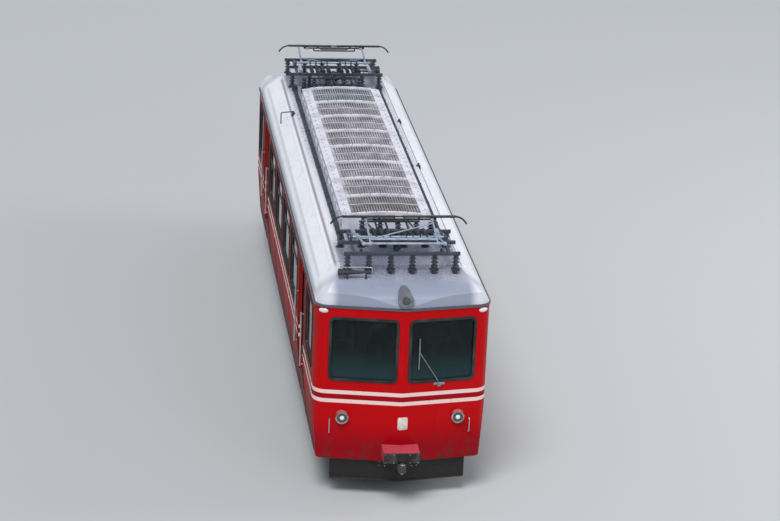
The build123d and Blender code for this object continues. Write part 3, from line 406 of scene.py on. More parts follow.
def inner_faces(coat):
    """1 on faces of the walls that look into the car."""
    towards_y = coat.times(coat.ny, coat.sum("SIGN", coat.y))
    towards_x = coat.times(coat.nx, coat.sum("SIGN", coat.x))
    side = coat.times(coat.sum("GREATER_THAN", coat.absolute(coat.y), 1.1),
                      coat.sum("LESS_THAN", towards_y, -0.4))
    end = coat.times(coat.sum("GREATER_THAN", coat.absolute(coat.x), 5.75),
                     coat.sum("LESS_THAN", towards_x, -0.3))
    return coat.larger(side, end)


def red_enamel():
    coat = Finish("red enamel", Coat_Roughness=0.07, Specular_IOR_Level=0.07)
    faded = coat.patches(0.9, 0.42, 0.68)
    coat.ground(faded, RED, RED_FADED)
    on_side = coat.larger(coat.mask(coat.absolute(coat.ny), 0.75, 0.97),
                          coat.sum("LESS_THAN", coat.absolute(coat.x), CAB_START))
    # The sides' dark brown is partly chalky fading and partly painted shade, as if the sides lay in shade.
    chalk_and_shade = coat.patches(2.6, 0.35, 0.62, 6.0)
    coat.lay(RED_CHALK_AND_SHADE, coat.times(on_side, coat.blend(chalk_and_shade, 0.30, 0.75)))
    # Painted shade: darker crimson towards the bottom, where the skirt leans in away from the light.
    coat.lay(CRIMSON, coat.mask(coat.z, 1.30, 0.75), 0.8)
    coat.lay(CRIMSON, coat.effect(STREAKS, Across=22.0, Down=0.9, Low=0.52, High=0.8), 0.35)
    stripes = coat.larger(*[coat.band(coat.z, low, high, 0.0015) for low, high in STRIPES])
    (_, gap_low), (gap_high, _) = STRIPES
    coat.lay(CRIMSON, coat.band(coat.z, gap_low, gap_high, 0.0015), 0.6)
    chipped = coat.patches(40.0, 0.30, 0.36, 5.0)
    coat.lay(STRIPE_CREAM, coat.times(stripes, chipped))
    splashed = coat.times(coat.patches(6.0, 0.42, 0.66, 8.0), coat.mask(coat.z, 1.05, 0.62))
    coat.lay(GRIME, splashed, 0.6)
    coat.lay(GRIME, coat.times(on_side, coat.mask(coat.z, 1.15, 0.60)), 0.55)
    coat.lay(DUST_GREY, coat.effect(DUST, Amount=0.45))
    inner = inner_faces(coat)
    coat.lay(CABIN_CREAM, inner)
    rough = coat.blend(faded, 0.20, 0.34)
    rough = coat.larger(rough, coat.times(splashed, 0.75))
    rough = coat.larger(rough, coat.times(on_side, 0.55))
    coat.set("Roughness", coat.larger(rough, coat.times(inner, 0.5)))
    no_gloss = coat.larger(coat.larger(inner, splashed), on_side)
    coat.set("Coat Weight", coat.blend(no_gloss, 0.08, 0.02))
    waves = coat.bump(coat.patches(2.3, 0.2, 0.8, 1.0), 0.35, 0.010)
    coat.grain(260.0, 0.05, 0.002, waves)
    return coat.done()


RED_ENAMEL = red_enamel()
print("finish:", RED_ENAMEL.name)

# %% [markdown]
# The roof is pale lavender-grey paint that years of damp have stained. Its slopes and the strips beside the
# hood are paler where rain keeps them clean, and painted brighter still as the sky's sheen on them, with a
# dirty mauve seam and a faint one along each side. A faint painted highlight follows the bend of the roof's
# edge and a stronger one sits on each front corner. The crown round the pantographs is a duller blue-grey.
# The low cheeks are painted teal-grey as shade, and the gutter below them dark as painted shade. Fine carbon
# dust lies round the pantographs, so its mask is the distance from them times a fine noise. Bands by place
# and normal lay all this on one shell.

# %% Roof paint
ROOF_LILAC = colour(0.43, 0.44, 0.53)
ROOF_BLUE = colour(0.29, 0.32, 0.42)
ROOF_BRIGHT = colour(0.90, 0.91, 0.95)
ROOF_CHEEK_SHADE = colour(0.30, 0.35, 0.40)
SEAM_MAUVE = colour(0.32, 0.25, 0.31)
GUTTER_SHADE = colour(0.070, 0.085, 0.105)
CARBON = colour(0.085, 0.085, 0.12)
RUST = colour(0.16, 0.055, 0.022)
GUTTER_TOP, BROW_TOP, CROWN_FLAT = 3.036, 3.20, 3.38
SEAM_HALF_W = 0.018
DIRTY_SEAM, FAINT_SEAM = 0.945, 1.190
PANTOGRAPH_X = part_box("pantograph_bases")[1].x - 0.534


def roof_paint():
    coat = Finish("roof paint", Coat_Weight=0.15, Coat_Roughness=0.2)
    smudges = coat.patches(1.1, 0.38, 0.66, 5.0)
    coat.ground(smudges, ROOF_LILAC, ROOF_BLUE)
    across, from_middle = coat.absolute(coat.y), coat.absolute(coat.x)
    beside_hood = coat.times(coat.mask(across, 0.66, 0.90), coat.mask(from_middle, 4.7, 4.1))
    # Painted sky sheen: the slopes and the strips beside the hood take the bright colour, partly for paint
    # that rain keeps clean and partly for the sky's sheen on them.
    washed_and_sheen = coat.larger(coat.mask(coat.nz, 0.97, 0.86), beside_hood)
    washed_and_sheen = coat.times(washed_and_sheen, coat.mask(from_middle, 5.75, 5.30))
    # A faint painted highlight in the band of height where the roof's edge bends to the brow and cheeks.
    rim = coat.band(coat.z, 3.09, BROW_TOP + 0.01, 0.035)
    coat.lay(ROOF_BRIGHT, coat.larger(washed_and_sheen, coat.times(rim, 0.15)))
    streaks = coat.effect(STREAKS, Across=9.0, Down=1.2, Low=0.5, High=0.74)
    cheek = coat.mask(coat.nz, 0.93, 0.75)
    coat.lay(ROOF_BLUE, coat.times(streaks, cheek), 0.35)
    # Painted shade: the low cheeks turn teal-grey, more strongly lower down.
    sideways = coat.mask(coat.absolute(coat.ny), 0.60, 0.82)
    low_cheek_shade = coat.times(sideways, coat.mask(coat.z, 3.13, 3.05))
    low_cheek_shade = coat.times(low_cheek_shade, coat.mask(from_middle, 5.75, 5.35))
    coat.lay(ROOF_CHEEK_SHADE, low_cheek_shade, 0.85)
    brow = coat.times(coat.mask(from_middle, 5.60, 5.90), coat.mask(across, 1.12, 0.95))
    coat.lay(ROOF_BLUE, brow, 0.85)
    # A painted highlight on each front corner of the roof.
    corner = coat.times(coat.mask(from_middle, 5.45, 5.80), coat.mask(across, 0.95, 1.12))
    coat.lay(ROOF_BRIGHT, corner, 0.70)
    before_brow = coat.mask(from_middle, 5.35, 5.05)
    for seam, strength in ((DIRTY_SEAM, 0.85), (FAINT_SEAM, 0.30)):
        line = coat.band(across, seam - SEAM_HALF_W, seam + SEAM_HALF_W, 0.010)
        coat.lay(SEAM_MAUVE, coat.times(line, before_brow), strength)
    mottle = coat.patches(17.0, 0.46, 0.60, 5.0)
    inner_strip = coat.times(coat.mask(across, 0.93, 0.86), before_brow)
    mottled = coat.times(coat.blend(mottle, 0.30, 0.70), coat.mask(coat.x, 1.5, -1.0, 0.25, 1.0))
    coat.lay(ROOF_BLUE, coat.times(mottled, inner_strip))
    along = coat.absolute(coat.less(from_middle, PANTOGRAPH_X))
    near = coat.mask(along, 1.35, 0.35)
    specks = coat.patches(55.0, 0.38, 0.64, 4.0)
    soot = coat.times(coat.times(near, coat.mask(coat.z, BROW_TOP, CROWN_FLAT)), specks)
    soot = coat.times(soot, coat.mask(across, 1.02, 0.84))
    coat.lay(CARBON, soot, 0.75)
    coat.lay(RUST, coat.patches(7.0, 0.67, 0.75, 9.0), 0.45)
    # Painted shade: the gutter's face is dark.
    coat.lay(GUTTER_SHADE, coat.mask(coat.z, GUTTER_TOP + 0.006, GUTTER_TOP - 0.004))
    wear = coat.effect_node(EDGES, Radius=0.006, Scale=18.0)
    coat.lay(ROOF_BLUE, wear.outputs["Mask"], 0.5)
    coat.lay(CABIN_CREAM, coat.sum("LESS_THAN", coat.nz, -0.2))
    rough = coat.blend(smudges, 0.34, 0.52)
    coat.set("Roughness", coat.larger(rough, coat.times(soot, 0.7)))
    waves = coat.bump(coat.patches(1.6, 0.2, 0.8, 1.0), 0.5, 0.012)
    coat.grain(150.0, 0.12, 0.003, waves)
    return coat.done()


ROOF_PAINT = roof_paint()
print("finish:", ROOF_PAINT.name, "pantographs at x", round(PANTOGRAPH_X, 3))

# %% [markdown]
# The hood's ribs and rims are whiter than the roof, chalky from the resistors' heat, with rust freckles at
# the seams. The grilles between the ribs are dull metal under a lilac-brown film of dust. The front bay is
# browner than the others, and the last has a grille painted teal, both by their place along the car.

# %% Hood paint and grille metal
HOOD_WHITE = colour(0.76, 0.755, 0.82)
HOOD_SHADE = colour(0.52, 0.51, 0.59)
GRILLE = colour(0.36, 0.33, 0.37)
GRILLE_PALE = colour(0.50, 0.48, 0.52)
GRILLE_BROWN = colour(0.20, 0.175, 0.165)
GRILLE_TEAL = colour(0.27, 0.31, 0.325)
FRONT_BAY_X, LAST_BAY_X = 2.74, -2.74


def grille_metal():
    coat = Finish("grille metal")
    dusty = coat.patches(4.0, 0.38, 0.66, 7.0)
    coat.ground(dusty, GRILLE, GRILLE_PALE)
    coat.lay(GRILLE_BROWN, coat.mask(coat.x, FRONT_BAY_X - 0.01, FRONT_BAY_X + 0.01, 0.0, 0.6))
    coat.lay(GRILLE_TEAL, coat.mask(coat.x, LAST_BAY_X + 0.01, LAST_BAY_X - 0.01, 0.0, 0.8))
    coat.lay(RUST, coat.patches(11.0, 0.60, 0.74, 8.0), 0.4)
    wear = coat.effect_node(EDGES, Radius=0.003, Scale=40.0)
    coat.lay(GRILLE_PALE, wear.outputs["Mask"])
    coat.set("Roughness", coat.blend(dusty, 0.45, 0.75))
    coat.set("Metallic", coat.blend(dusty, 0.3, 0.0))
    coat.grain(200.0, 0.2, 0.002, wear.outputs["Normal"])
    return coat.done()


HOOD_WHITE_PAINT = weathered("hood white", HOOD_WHITE, HOOD_SHADE, (3.0, 0.40, 0.68, 6.0), (0.45, 0.7),
                             (120.0, 0.15, 0.003), streaks=(DUST_GREY, 0.4, 16.0, 1.5, 0.5, 0.72),
                             spots=(RUST, 0.6, 14.0, 0.63, 0.72, 8.0), edges=(DUST_GREY, 1.0, 0.004, 22.0),
                             Specular_IOR_Level=0.35)
GRILLE_METAL = grille_metal()
print("finishes:", HOOD_WHITE_PAINT.name, GRILLE_METAL.name)

# %% [markdown]
# The windows are dark green-blue safety glass. From outside they mostly mirror, and one sees in only where
# the view is square to the pane. So the glass is a glossy film whose alpha rises towards grazing angles by
# Fresnel: cheap to render, and it exports as plain see-through glass. It is greener low down, where its lower
# edge holds a film of dust.

# %% Glass
GLASS_DARK = colour(0.006, 0.011, 0.012)
GLASS_TEAL = colour(0.008, 0.034, 0.042)
GLASS_DUST = colour(0.16, 0.24, 0.26)
LENS_DARK = colour(0.060, 0.062, 0.070)


def tinted_glass():
    coat = Finish("tinted glass", IOR=1.45, Specular_IOR_Level=0.28)
    film = coat.patches(5.0, 0.45, 0.75, 7.0)
    runs = coat.effect(STREAKS, Across=18.0, Down=1.2, Low=0.5, High=0.7)
    dirt = coat.larger(film, runs)
    low_pane = coat.mask(coat.z, 2.45, 1.90)
    dirt = coat.larger(coat.times(dirt, 0.08), coat.times(low_pane, 0.10))
    coat.ground(low_pane, GLASS_DARK, GLASS_TEAL)
    coat.lay(GLASS_DUST, dirt)
    coat.set("Roughness", coat.mask(dirt, 0.0, 0.2, 0.03, 0.12))
    facing = node(coat.tree, "LayerWeight", {"Blend": 0.35}).outputs["Fresnel"]
    see_through = coat.mask(facing, 0.0, 0.6, 0.62, 0.96)
    coat.set("Alpha", coat.larger(see_through, coat.times(dirt, 3.0)))
    return coat.done()


TINTED_GLASS = tinted_glass()
print("finish:", TINTED_GLASS.name)

# %% [markdown]
# Lamp glass is ribbed to spread the beam, so it has a fine bump in ribs, and it looks dark because the dish
# behind it mirrors the ground. Lamp metal is plated, dulled by dust and pitted with small rust spots. The
# window sashes are old dark aluminium, and the rubber round them is nearly black.

# %% Lamp glass, plated metal and rubber
PLATED = colour(0.56, 0.57, 0.58)
RUBBER = colour(0.018, 0.018, 0.019)
RUBBER_GREY = colour(0.052, 0.049, 0.047)
SASH_DULL = colour(0.085, 0.085, 0.088)
SASH_WORN = colour(0.14, 0.135, 0.13)


def lens_glass():
    coat = Finish("lamp glass", IOR=1.5, Coat_Weight=0.5, Coat_Roughness=0.03)
    ribs = node(coat.tree, "TexWave", {"Vector": coat.place, "Scale": 9.0}, bands_direction="Y")
    milky = coat.patches(20.0, 0.4, 0.7, 3.0)
    coat.ground(coat.times(milky, 0.25), LENS_DARK, GLASS_DUST)
    coat.set("Roughness", coat.blend(milky, 0.06, 0.2))
    coat.bump(ribs.outputs["Fac"], 0.35, 0.004)
    return coat.done()


LENS_GLASS = lens_glass()
PLATED_METAL = weathered("plated metal", PLATED, DUST_GREY, (12.0, 0.40, 0.65, 6.0), (0.16, 0.38),
                         (220.0, 0.06, 0.002), spots=(RUST, 0.6, 70.0, 0.62, 0.70, 5.0), Metallic=1.0)
RUBBER_SEAL = weathered("window rubber", RUBBER, RUBBER_GREY, (4.0, 0.40, 0.70, 5.0), (0.55, 0.8),
                        (300.0, 0.15, 0.001), Specular_IOR_Level=0.3)
SASH_METAL = weathered("dull aluminium", SASH_DULL, SASH_WORN, (6.0, 0.40, 0.68), (0.42, 0.6),
                       (250.0, 0.08, 0.001), Metallic=0.6)
print("finishes:", LENS_GLASS.name, PLATED_METAL.name, RUBBER_SEAL.name, SASH_METAL.name)

# %% [markdown]
# What hangs below the floor is black paint under oil, stone dust and rust. One function makes the family:
# the springs are the dustiest and the rail guard the blackest. Rust sits on the edges, found by the worn-edge
# group, and pale dust lies on what faces up. The coupling's box was painted with the body: its pink is partly
# faded paint and partly a painted sheen of the sky.

# %% Chassis paint, iron and steel
BLACK_PAINT = colour(0.020, 0.020, 0.022)
OILY = colour(0.010, 0.009, 0.008)
BARE_STEEL = colour(0.32, 0.31, 0.30)
STONE_DUST = colour(0.20, 0.165, 0.13)
COUPLER_PINK_AND_SHEEN = colour(0.52, 0.050, 0.085)
wheel_low, wheel_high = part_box("wheelset_front_outer")
inner_low, inner_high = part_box("wheelset_front_inner")
AXLE_Z = (wheel_low.z + wheel_high.z) / 2
WHEEL_R = 0.350
WHEELBASE = (wheel_low.x + wheel_high.x - inner_low.x - inner_high.x) / 2
BOGIE_X = (wheel_low.x + wheel_high.x + inner_low.x + inner_high.x) / 4


def chassis_paint(name, base, dust_amount, rust_amount):
    return weathered(name, base, OILY, (5.0, 0.42, 0.62, 7.0), (0.62, 0.34), (110.0, 0.25, 0.003),
                     spots=(RUST, rust_amount, 9.0, 0.52, 0.68, 9.0), edges=(RUST, 0.7, 0.004, 20.0),
                     dust=(STONE_DUST, dust_amount, 6.0), Specular_IOR_Level=0.4)


def coupler_paint():
    """Pink-red on the box's top and sides, faded paint with a painted sky sheen, and bare iron on its front
    and on the tongue.
    """
    coat = Finish("coupler paint", Specular_IOR_Level=0.3)
    worn = coat.patches(9.0, 0.42, 0.66, 7.0)
    # The box's pink is partly faded paint and partly painted sky sheen.
    painted = coat.mix(coat.times(worn, 0.5), COUPLER_PINK_AND_SHEEN, colour(0.34, 0.10, 0.10))
    iron = coat.mix(coat.times(worn, 0.35), colour(0.050, 0.058, 0.055), RUST)
    faces = coat.larger(coat.mask(coat.nz, 0.5, 0.8), coat.mask(coat.absolute(coat.ny), 0.5, 0.8))
    box = coat.times(faces, coat.mask(coat.z, 0.700, 0.708))
    chips = coat.patches(26.0, 0.62, 0.66, 6.0)
    coat.ground(coat.times(box, coat.less(1.0, chips)), iron, painted)
    coat.set("Roughness", coat.blend(worn, 0.4, 0.65))
    coat.grain(140.0, 0.2, 0.002)
    return coat.done()


def wheel_steel():
    """Tyres polished where they run, brown elsewhere: brightness goes by distance from the axle."""
    coat = Finish("wheel steel")
    across = coat.less(coat.absolute(coat.x), BOGIE_X)
    across = coat.less(coat.absolute(across), WHEELBASE / 2)
    up = coat.less(coat.z, AXLE_Z)
    reach = coat.sum("SQRT", coat.sum("ADD", coat.times(across, across), coat.times(up, up)))
    tread = coat.mask(reach, WHEEL_R - 0.008, WHEEL_R - 0.001)
    rust = coat.patches(12.0, 0.40, 0.66, 8.0)
    coat.ground(rust, BLACK_PAINT, RUST)
    coat.lay(OILY, coat.mask(reach, 0.20, 0.11), 0.8)
    coat.lay(BARE_STEEL, tread)
    coat.set("Metallic", coat.blend(tread, 0.25, 1.0))
    coat.set("Roughness", coat.blend(tread, 0.62, 0.26))
    coat.grain(140.0, 0.2, 0.002)
    return coat.done()


CHASSIS_BLACK = chassis_paint("chassis black", BLACK_PAINT, 0.35, 0.20)
GUARD_BLACK = chassis_paint("rail guard black", colour(0.012, 0.012, 0.013), 0.10, 0.12)
COUPLER_IRON = chassis_paint("coupler iron", colour(0.050, 0.058, 0.055), 0.30, 0.25)
SPRING_STEEL = chassis_paint("spring steel", colour(0.055, 0.050, 0.046), 0.45, 0.30)
COUPLER_PAINT = coupler_paint()
WHEEL_STEEL = wheel_steel()
print("axle height", round(AXLE_Z, 3), "wheelbase", round(WHEELBASE, 3), "bogies at", round(BOGIE_X, 3))

# %% [markdown]
# Inside, the walls are cream laminate, the seats varnished slats and the desks grey hammer paint. The
# porcelain on the roof is a dark navy glaze. The pantograph's tubes are pale grey-blue paint, its base a
# duller blue-grey, its springs and fittings nearly black.


# %% Cabin, porcelain and pantograph finishes
SLAT_PITCH = 0.062


def varnished_slats():
    coat = Finish("varnished slats", Coat_Weight=0.5, Coat_Roughness=0.12)
    stretched = node(coat.tree, "Mapping", {"Vector": coat.place, "Scale": (14.0, 0.9, 14.0)}).outputs[0]
    grain = noise(coat.tree, stretched, 3.0, 8.0)
    coat.ground(coat.mask(grain, 0.35, 0.68), colour(0.30, 0.125, 0.040), colour(0.13, 0.045, 0.014))
    height = coat.sum("ADD", coat.z, coat.x)
    gaps = coat.absolute(coat.less(coat.sum("FRACT", coat.sum("DIVIDE", height, SLAT_PITCH)), 0.5))
    gap = coat.mask(gaps, 0.43, 0.48)
    coat.lay(GRIME, gap)
    coat.set("Roughness", coat.mask(grain, 0.3, 0.7, 0.28, 0.45))
    coat.bump(coat.less(1.0, gap), 0.6, 0.006)
    return coat.done()


def hammer_paint(name, base, fleck):
    coat = Finish(name, Coat_Weight=0.2, Coat_Roughness=0.2)
    dimples = node(coat.tree, "TexVoronoi", {"Vector": coat.place, "Scale": 130.0}).outputs["Distance"]
    worn = coat.patches(8.0, 0.45, 0.7, 6.0)
    coat.ground(coat.mask(dimples, 0.1, 0.6), base, fleck)
    coat.lay(DUST_GREY, worn, 0.4)
    coat.set("Roughness", coat.blend(worn, 0.32, 0.55))
    coat.bump(dimples, 0.2, 0.002)
    return coat.done()


def pantograph_paint(name, base, shade, metallic):
    return weathered(name, base, shade, (10.0, 0.42, 0.66, 7.0), (0.34, 0.6), (240.0, 0.1, 0.001),
                     spots=(RUST, 0.7, 36.0, 0.62, 0.70, 5.0), edges=(BARE_STEEL, 1.0, 0.0025, 40.0),
                     metal=(metallic, 0.0), Specular_IOR_Level=0.5)


CABIN_LAMINATE = weathered("cabin cream", CABIN_CREAM, colour(0.52, 0.45, 0.30), (2.2, 0.4, 0.7),
                           (0.35, 0.55), (180.0, 0.1, 0.002), spots=(GRIME, 0.5, 30.0, 0.62, 0.70, 6.0),
                           Specular_IOR_Level=0.4)
SLATS = varnished_slats()
DESK_PAINT = hammer_paint("desk paint", colour(0.105, 0.115, 0.120), colour(0.16, 0.17, 0.175))
PORCELAIN = weathered("insulator glaze", colour(0.018, 0.030, 0.056), colour(0.008, 0.010, 0.020),
                      (9.0, 0.38, 0.66, 5.0), (0.12, 0.25), (160.0, 0.05, 0.001), dust=(ROOF_BLUE, 0.3, 12.0),
                      Coat_Weight=0.8, Coat_Roughness=0.06, IOR=1.55)
PANTOGRAPH_DARK = pantograph_paint("pantograph frame", colour(0.022, 0.028, 0.044),
                                   colour(0.010, 0.013, 0.022), 0.2)
PANTOGRAPH_TUBE = pantograph_paint("pantograph tube", colour(0.40, 0.47, 0.56), colour(0.24, 0.29, 0.37), 0.3)
PANTOGRAPH_BASE = pantograph_paint("pantograph base", colour(0.060, 0.078, 0.105),
                                   colour(0.026, 0.034, 0.050), 0.2)
COLLECTOR = pantograph_paint("collector strip", colour(0.016, 0.018, 0.024), colour(0.040, 0.042, 0.048), 0.4)
FITTING_GREY = pantograph_paint("fitting grey", colour(0.22, 0.24, 0.27), colour(0.13, 0.14, 0.16), 0.3)
FITTING_DARK = pantograph_paint("fitting dark", colour(0.040, 0.046, 0.062), colour(0.018, 0.020, 0.028), 0.2)
HANDRAIL_STEEL = pantograph_paint("handrail steel", colour(0.52, 0.52, 0.50), colour(0.34, 0.33, 0.31), 0.9)
TROUGH_NAVY = pantograph_paint("trough navy", colour(0.016, 0.024, 0.050), colour(0.030, 0.040, 0.070), 0.1)
print("finishes:", len(bpy.data.materials))

# %% [markdown]
# The small pieces need a few finishes more: the lamps' bright middles, blank enamel for the plate, worn steel
# where feet and bolts rub it bare, and a green-blue paint for one cover on the roof. A plain painted surface
# is the same idea each time, colour in patches with grime over it, so one function makes them all.


# %% Small finishes
def plain_paint(name, base, shade, rough=0.4, metallic=0.0, grime=0.5, coat=0.0):
    return weathered(name, base, shade, (14.0, 0.40, 0.68, 7.0), (rough, rough + 0.2), (200.0, 0.12, 0.002),
                     spots=(GRIME, grime, 45.0, 0.58, 0.70, 5.0), dust=(DUST_GREY, grime * 0.6, 8.0),
                     Coat_Weight=coat, Metallic=metallic)


# White for the painted highlight in the middle of each headlamp.
LAMP_GLINT = plain_paint("lamp glint", colour(0.92, 0.90, 0.82), colour(0.80, 0.78, 0.70), 0.15, grime=0.1,
                        coat=0.6)
MARKER_WHITE = plain_paint("marker glass", colour(0.85, 0.82, 0.80), colour(0.70, 0.66, 0.64), 0.2, grime=0.3,
                           coat=0.5)
PLATE_ENAMEL = plain_paint("plate enamel", colour(0.80, 0.74, 0.64), colour(0.62, 0.55, 0.46), 0.25,
                           grime=0.4, coat=0.4)
AMBER_GLASS = plain_paint("amber glass", colour(0.22, 0.070, 0.040), colour(0.12, 0.040, 0.026), 0.2,
                          grime=0.3, coat=0.5)
WIPER_METAL = plain_paint("wiper metal", colour(0.30, 0.33, 0.34), colour(0.18, 0.20, 0.21), 0.4, 0.3, 0.3)
WORN_STEEL = plain_paint("worn steel", colour(0.30, 0.29, 0.28), colour(0.14, 0.11, 0.09), 0.38, 0.8, 0.5)
TEAL_PAINT = plain_paint("teal paint", colour(0.10, 0.22, 0.24), colour(0.20, 0.30, 0.31), 0.45, grime=0.6)
print("small finishes ready")

# %% [markdown]
# The solids take their finishes by name, and only their material changes.

# %% Finishes of the solids
ENDS = ("front", "rear")
DOORS = [f"{end}_{side}" for end in ENDS for side in ("left", "right")]


def paint(material, *names):
    """Give a finish to each of the solids named."""
    for name in names:
        nodes[name].data.materials.clear()
        nodes[name].data.materials.append(material)


paint(RED_ENAMEL, "side_wall_left", "side_wall_right", "cab_side_panels", "doorway_frames", "end_wall_front",
      "end_wall_rear", *[f"door_leaf_{door}" for door in DOORS])
paint(TINTED_GLASS, "side_glazing", "end_glazing", *[f"door_glass_{door}" for door in DOORS])
paint(CHASSIS_BLACK, "underframe", "door_steps", "equipment_boxes", "air_reservoirs")
for material, name in ((ROOF_PAINT, "roof"), (HOOD_WHITE_PAINT, "resistor_hood"),
                       (GRILLE_METAL, "hood_panels"), (FITTING_GREY, "lamp_housings"),
                       (FITTING_DARK, "roof_fittings"), (PORCELAIN, "roof_insulators"),
                       (LENS_GLASS, "lamp_lenses"), (HANDRAIL_STEEL, "handrails"),
                       (CABIN_LAMINATE, "cab_bulkheads"), (SLATS, "passenger_seats"),
                       (DESK_PAINT, "driver_stations"), (COUPLER_PAINT, "couplers"),
                       (GUARD_BLACK, "rail_guards"), (PANTOGRAPH_BASE, "pantograph_bases")):
    paint(material, name)
for end in ENDS:
    paint(CHASSIS_BLACK, *[f"bogie_{piece}_{end}" for piece in ("frame", "axleboxes", "motors")])
    paint(WHEEL_STEEL, f"wheelset_{end}_inner", f"wheelset_{end}_outer")
    paint(PANTOGRAPH_TUBE, f"pantograph_lower_arm_{end}", f"pantograph_upper_arm_{end}")
    paint(COLLECTOR, f"pantograph_head_{end}")
print("solids without a finish:", [name for name, solid in nodes.items() if len(solid.data.materials) != 1])

# %% [markdown]
# New pieces are modelled by the same operators that a person uses, so the helpers only wrap what repeats.
# Everything is deselected before a primitive is added, because an operator acts on all that is selected. Each
# helper leaves its piece at the origin, unturned, with its place in its mesh, as the solids have it.


# %% Helpers for modelling
def choose(*pieces):
    """Object mode, with nothing selected but these."""
    if bpy.context.object and bpy.context.object.mode != "OBJECT":
        bpy.ops.object.mode_set(mode="OBJECT")
    bpy.ops.object.select_all(action="DESELECT")
    for piece in pieces:
        piece.select_set(True)
    bpy.context.view_layer.objects.active = pieces[0] if pieces else None


def edit_all():
    """Edit mode, with the whole mesh chosen."""
    bpy.ops.object.mode_set(mode="EDIT")
    bpy.ops.mesh.select_all(action="SELECT")


def settled():
    """The active object, its place, turn and scale moved into its mesh."""
    choose(bpy.context.object)
    bpy.ops.object.transform_apply(location=True, rotation=True, scale=True)
    return bpy.context.object


def shaped(piece, kind, **settings):
    """The piece with a modifier applied."""
    modifier = piece.modifiers.new(kind.title(), kind)
    for setting, value in settings.items():
        setattr(modifier, setting, value)
    choose(piece)
    bpy.ops.object.modifier_apply(modifier=modifier.name)
    return piece


def rounded(piece, width, steps=2):
    """The piece with its sharp edges rounded."""
    return shaped(piece, "BEVEL", width=width, segments=steps, limit_method="ANGLE",
                  angle_limit=math.radians(40))


def cube(low, high):
    """A plain box between two corners."""
    choose()
    low, high = Vector(low), Vector(high)
    bpy.ops.mesh.primitive_cube_add(size=1, location=(low + high) / 2)
    bpy.context.object.scale = high - low
    return settled()


def block(low, high, edge=0.004):
    """A box with rounded edges."""
    return rounded(cube(low, high), edge)


def chain(points):
    """An open chain of vertices, left in edit mode: one vertex, drawn out from point to point."""
    choose()
    bpy.ops.mesh.primitive_circle_add(vertices=3, radius=0.001, location=points[0])
    bpy.ops.object.transform_apply(location=True)
    edit_all()
    bpy.ops.mesh.merge(type="CENTER")
    for here, there in zip(points, points[1:]):
        step = Vector(there) - Vector(here)
        bpy.ops.mesh.extrude_vertices_move(TRANSFORM_OT_translate={"value": step})


def pipe(points, radius, corner=0.0):
    """A bar or pipe of round section that follows points, its corners bent."""
    chain(points)
    if corner:
        bpy.ops.mesh.select_all(action="SELECT")
        bpy.ops.mesh.bevel(affect="VERTICES", offset=corner, segments=4)
    bpy.ops.object.mode_set(mode="OBJECT")
    bpy.ops.object.convert(target="CURVE")
    line = bpy.context.object.data
    line.bevel_depth = radius
    line.bevel_resolution = 2
    line.use_fill_caps = True
    bpy.ops.object.convert(target="MESH")
    return settled()


def turned(centre, axis, outline, steps=24):
    """A round piece: its outline, as pairs of distance along the axis and radius, spun about the axis."""
    centre, axis = Vector(centre), Vector(axis).normalized()
    side = axis.orthogonal().normalized()
    chain([centre + axis * along + side * radius for along, radius in outline])
    bpy.ops.mesh.select_all(action="SELECT")
    bpy.ops.mesh.spin(steps=steps, angle=math.tau, center=centre, axis=axis)
    bpy.ops.mesh.select_all(action="SELECT")
    bpy.ops.mesh.remove_doubles(threshold=1e-5)
    bpy.ops.mesh.normals_make_consistent(inside=False)
    bpy.ops.object.mode_set(mode="OBJECT")
    return settled()


def facing(outward):
    """The turn that stands a piece drawn flat, its up along Z, against a wall whose outside is outward."""
    outward = Vector(outward).normalized()
    across = Vector((0, 0, 1)).cross(outward).normalized()
    return Matrix((across, outward.cross(across), outward)).transposed()


def round_sheet(centre, outward, width, height, corner, steps):
    """A flat piece with round corners against a wall, left in edit mode."""
    choose()
    bpy.ops.mesh.primitive_plane_add(size=1, location=centre, rotation=facing(outward).to_euler())
    bpy.context.object.scale = (width, height, 1)
    piece = settled()
    edit_all()
    bpy.ops.mesh.bevel(affect="VERTICES", offset=corner, segments=steps)
    return piece


def ring(centre, outward, width, height, corner, band, proud, sunk=0.004, edge=0.003):
    """A frame with round corners on a wall: its outline inset by the band's width, its middle taken out."""
    outward = Vector(outward).normalized()
    piece = round_sheet(Vector(centre) - outward * sunk, outward, width, height, corner, 5)
    bpy.ops.mesh.select_mode(type="FACE")
    bpy.ops.mesh.select_all(action="SELECT")
    bpy.ops.mesh.inset(thickness=band)
    bpy.ops.mesh.delete(type="FACE")
    bpy.ops.mesh.select_mode(type="VERT")
    bpy.ops.object.mode_set(mode="OBJECT")
    shaped(piece, "SOLIDIFY", thickness=proud + sunk, offset=1)
    return rounded(piece, edge)


MIRROR = Matrix.Scale(-1, 4, (0, 1, 0))
HALF_TURN = Matrix.Rotation(math.pi, 4, "Z")
TO_OTHER_END = (HALF_TURN,)
TO_OTHER_SIDE = (MIRROR,)
TO_ALL_CORNERS = (MIRROR, HALF_TURN, HALF_TURN @ MIRROR)
BOTH_ENDS = {"front": Matrix(), "rear": HALF_TURN}
SMOOTH_BELOW = math.radians(35)


def joined(pieces):
    """Several pieces as one mesh."""
    choose(*pieces)
    if len(pieces) > 1:
        bpy.ops.object.join()
    return bpy.context.object


def carried(piece, move):
    """A copy with its own mesh, carried by a matrix and turned right side out if that mirrors it."""
    twin = piece.copy()
    twin.data = piece.data.copy()
    bpy.context.scene.collection.objects.link(twin)
    twin.data.transform(move)
    if move.determinant() < 0:
        twin.data.flip_normals()
    return twin


def repeated(piece, moves):
    """The piece and its copies as one mesh."""
    return joined([piece] + [carried(piece, move) for move in moves])


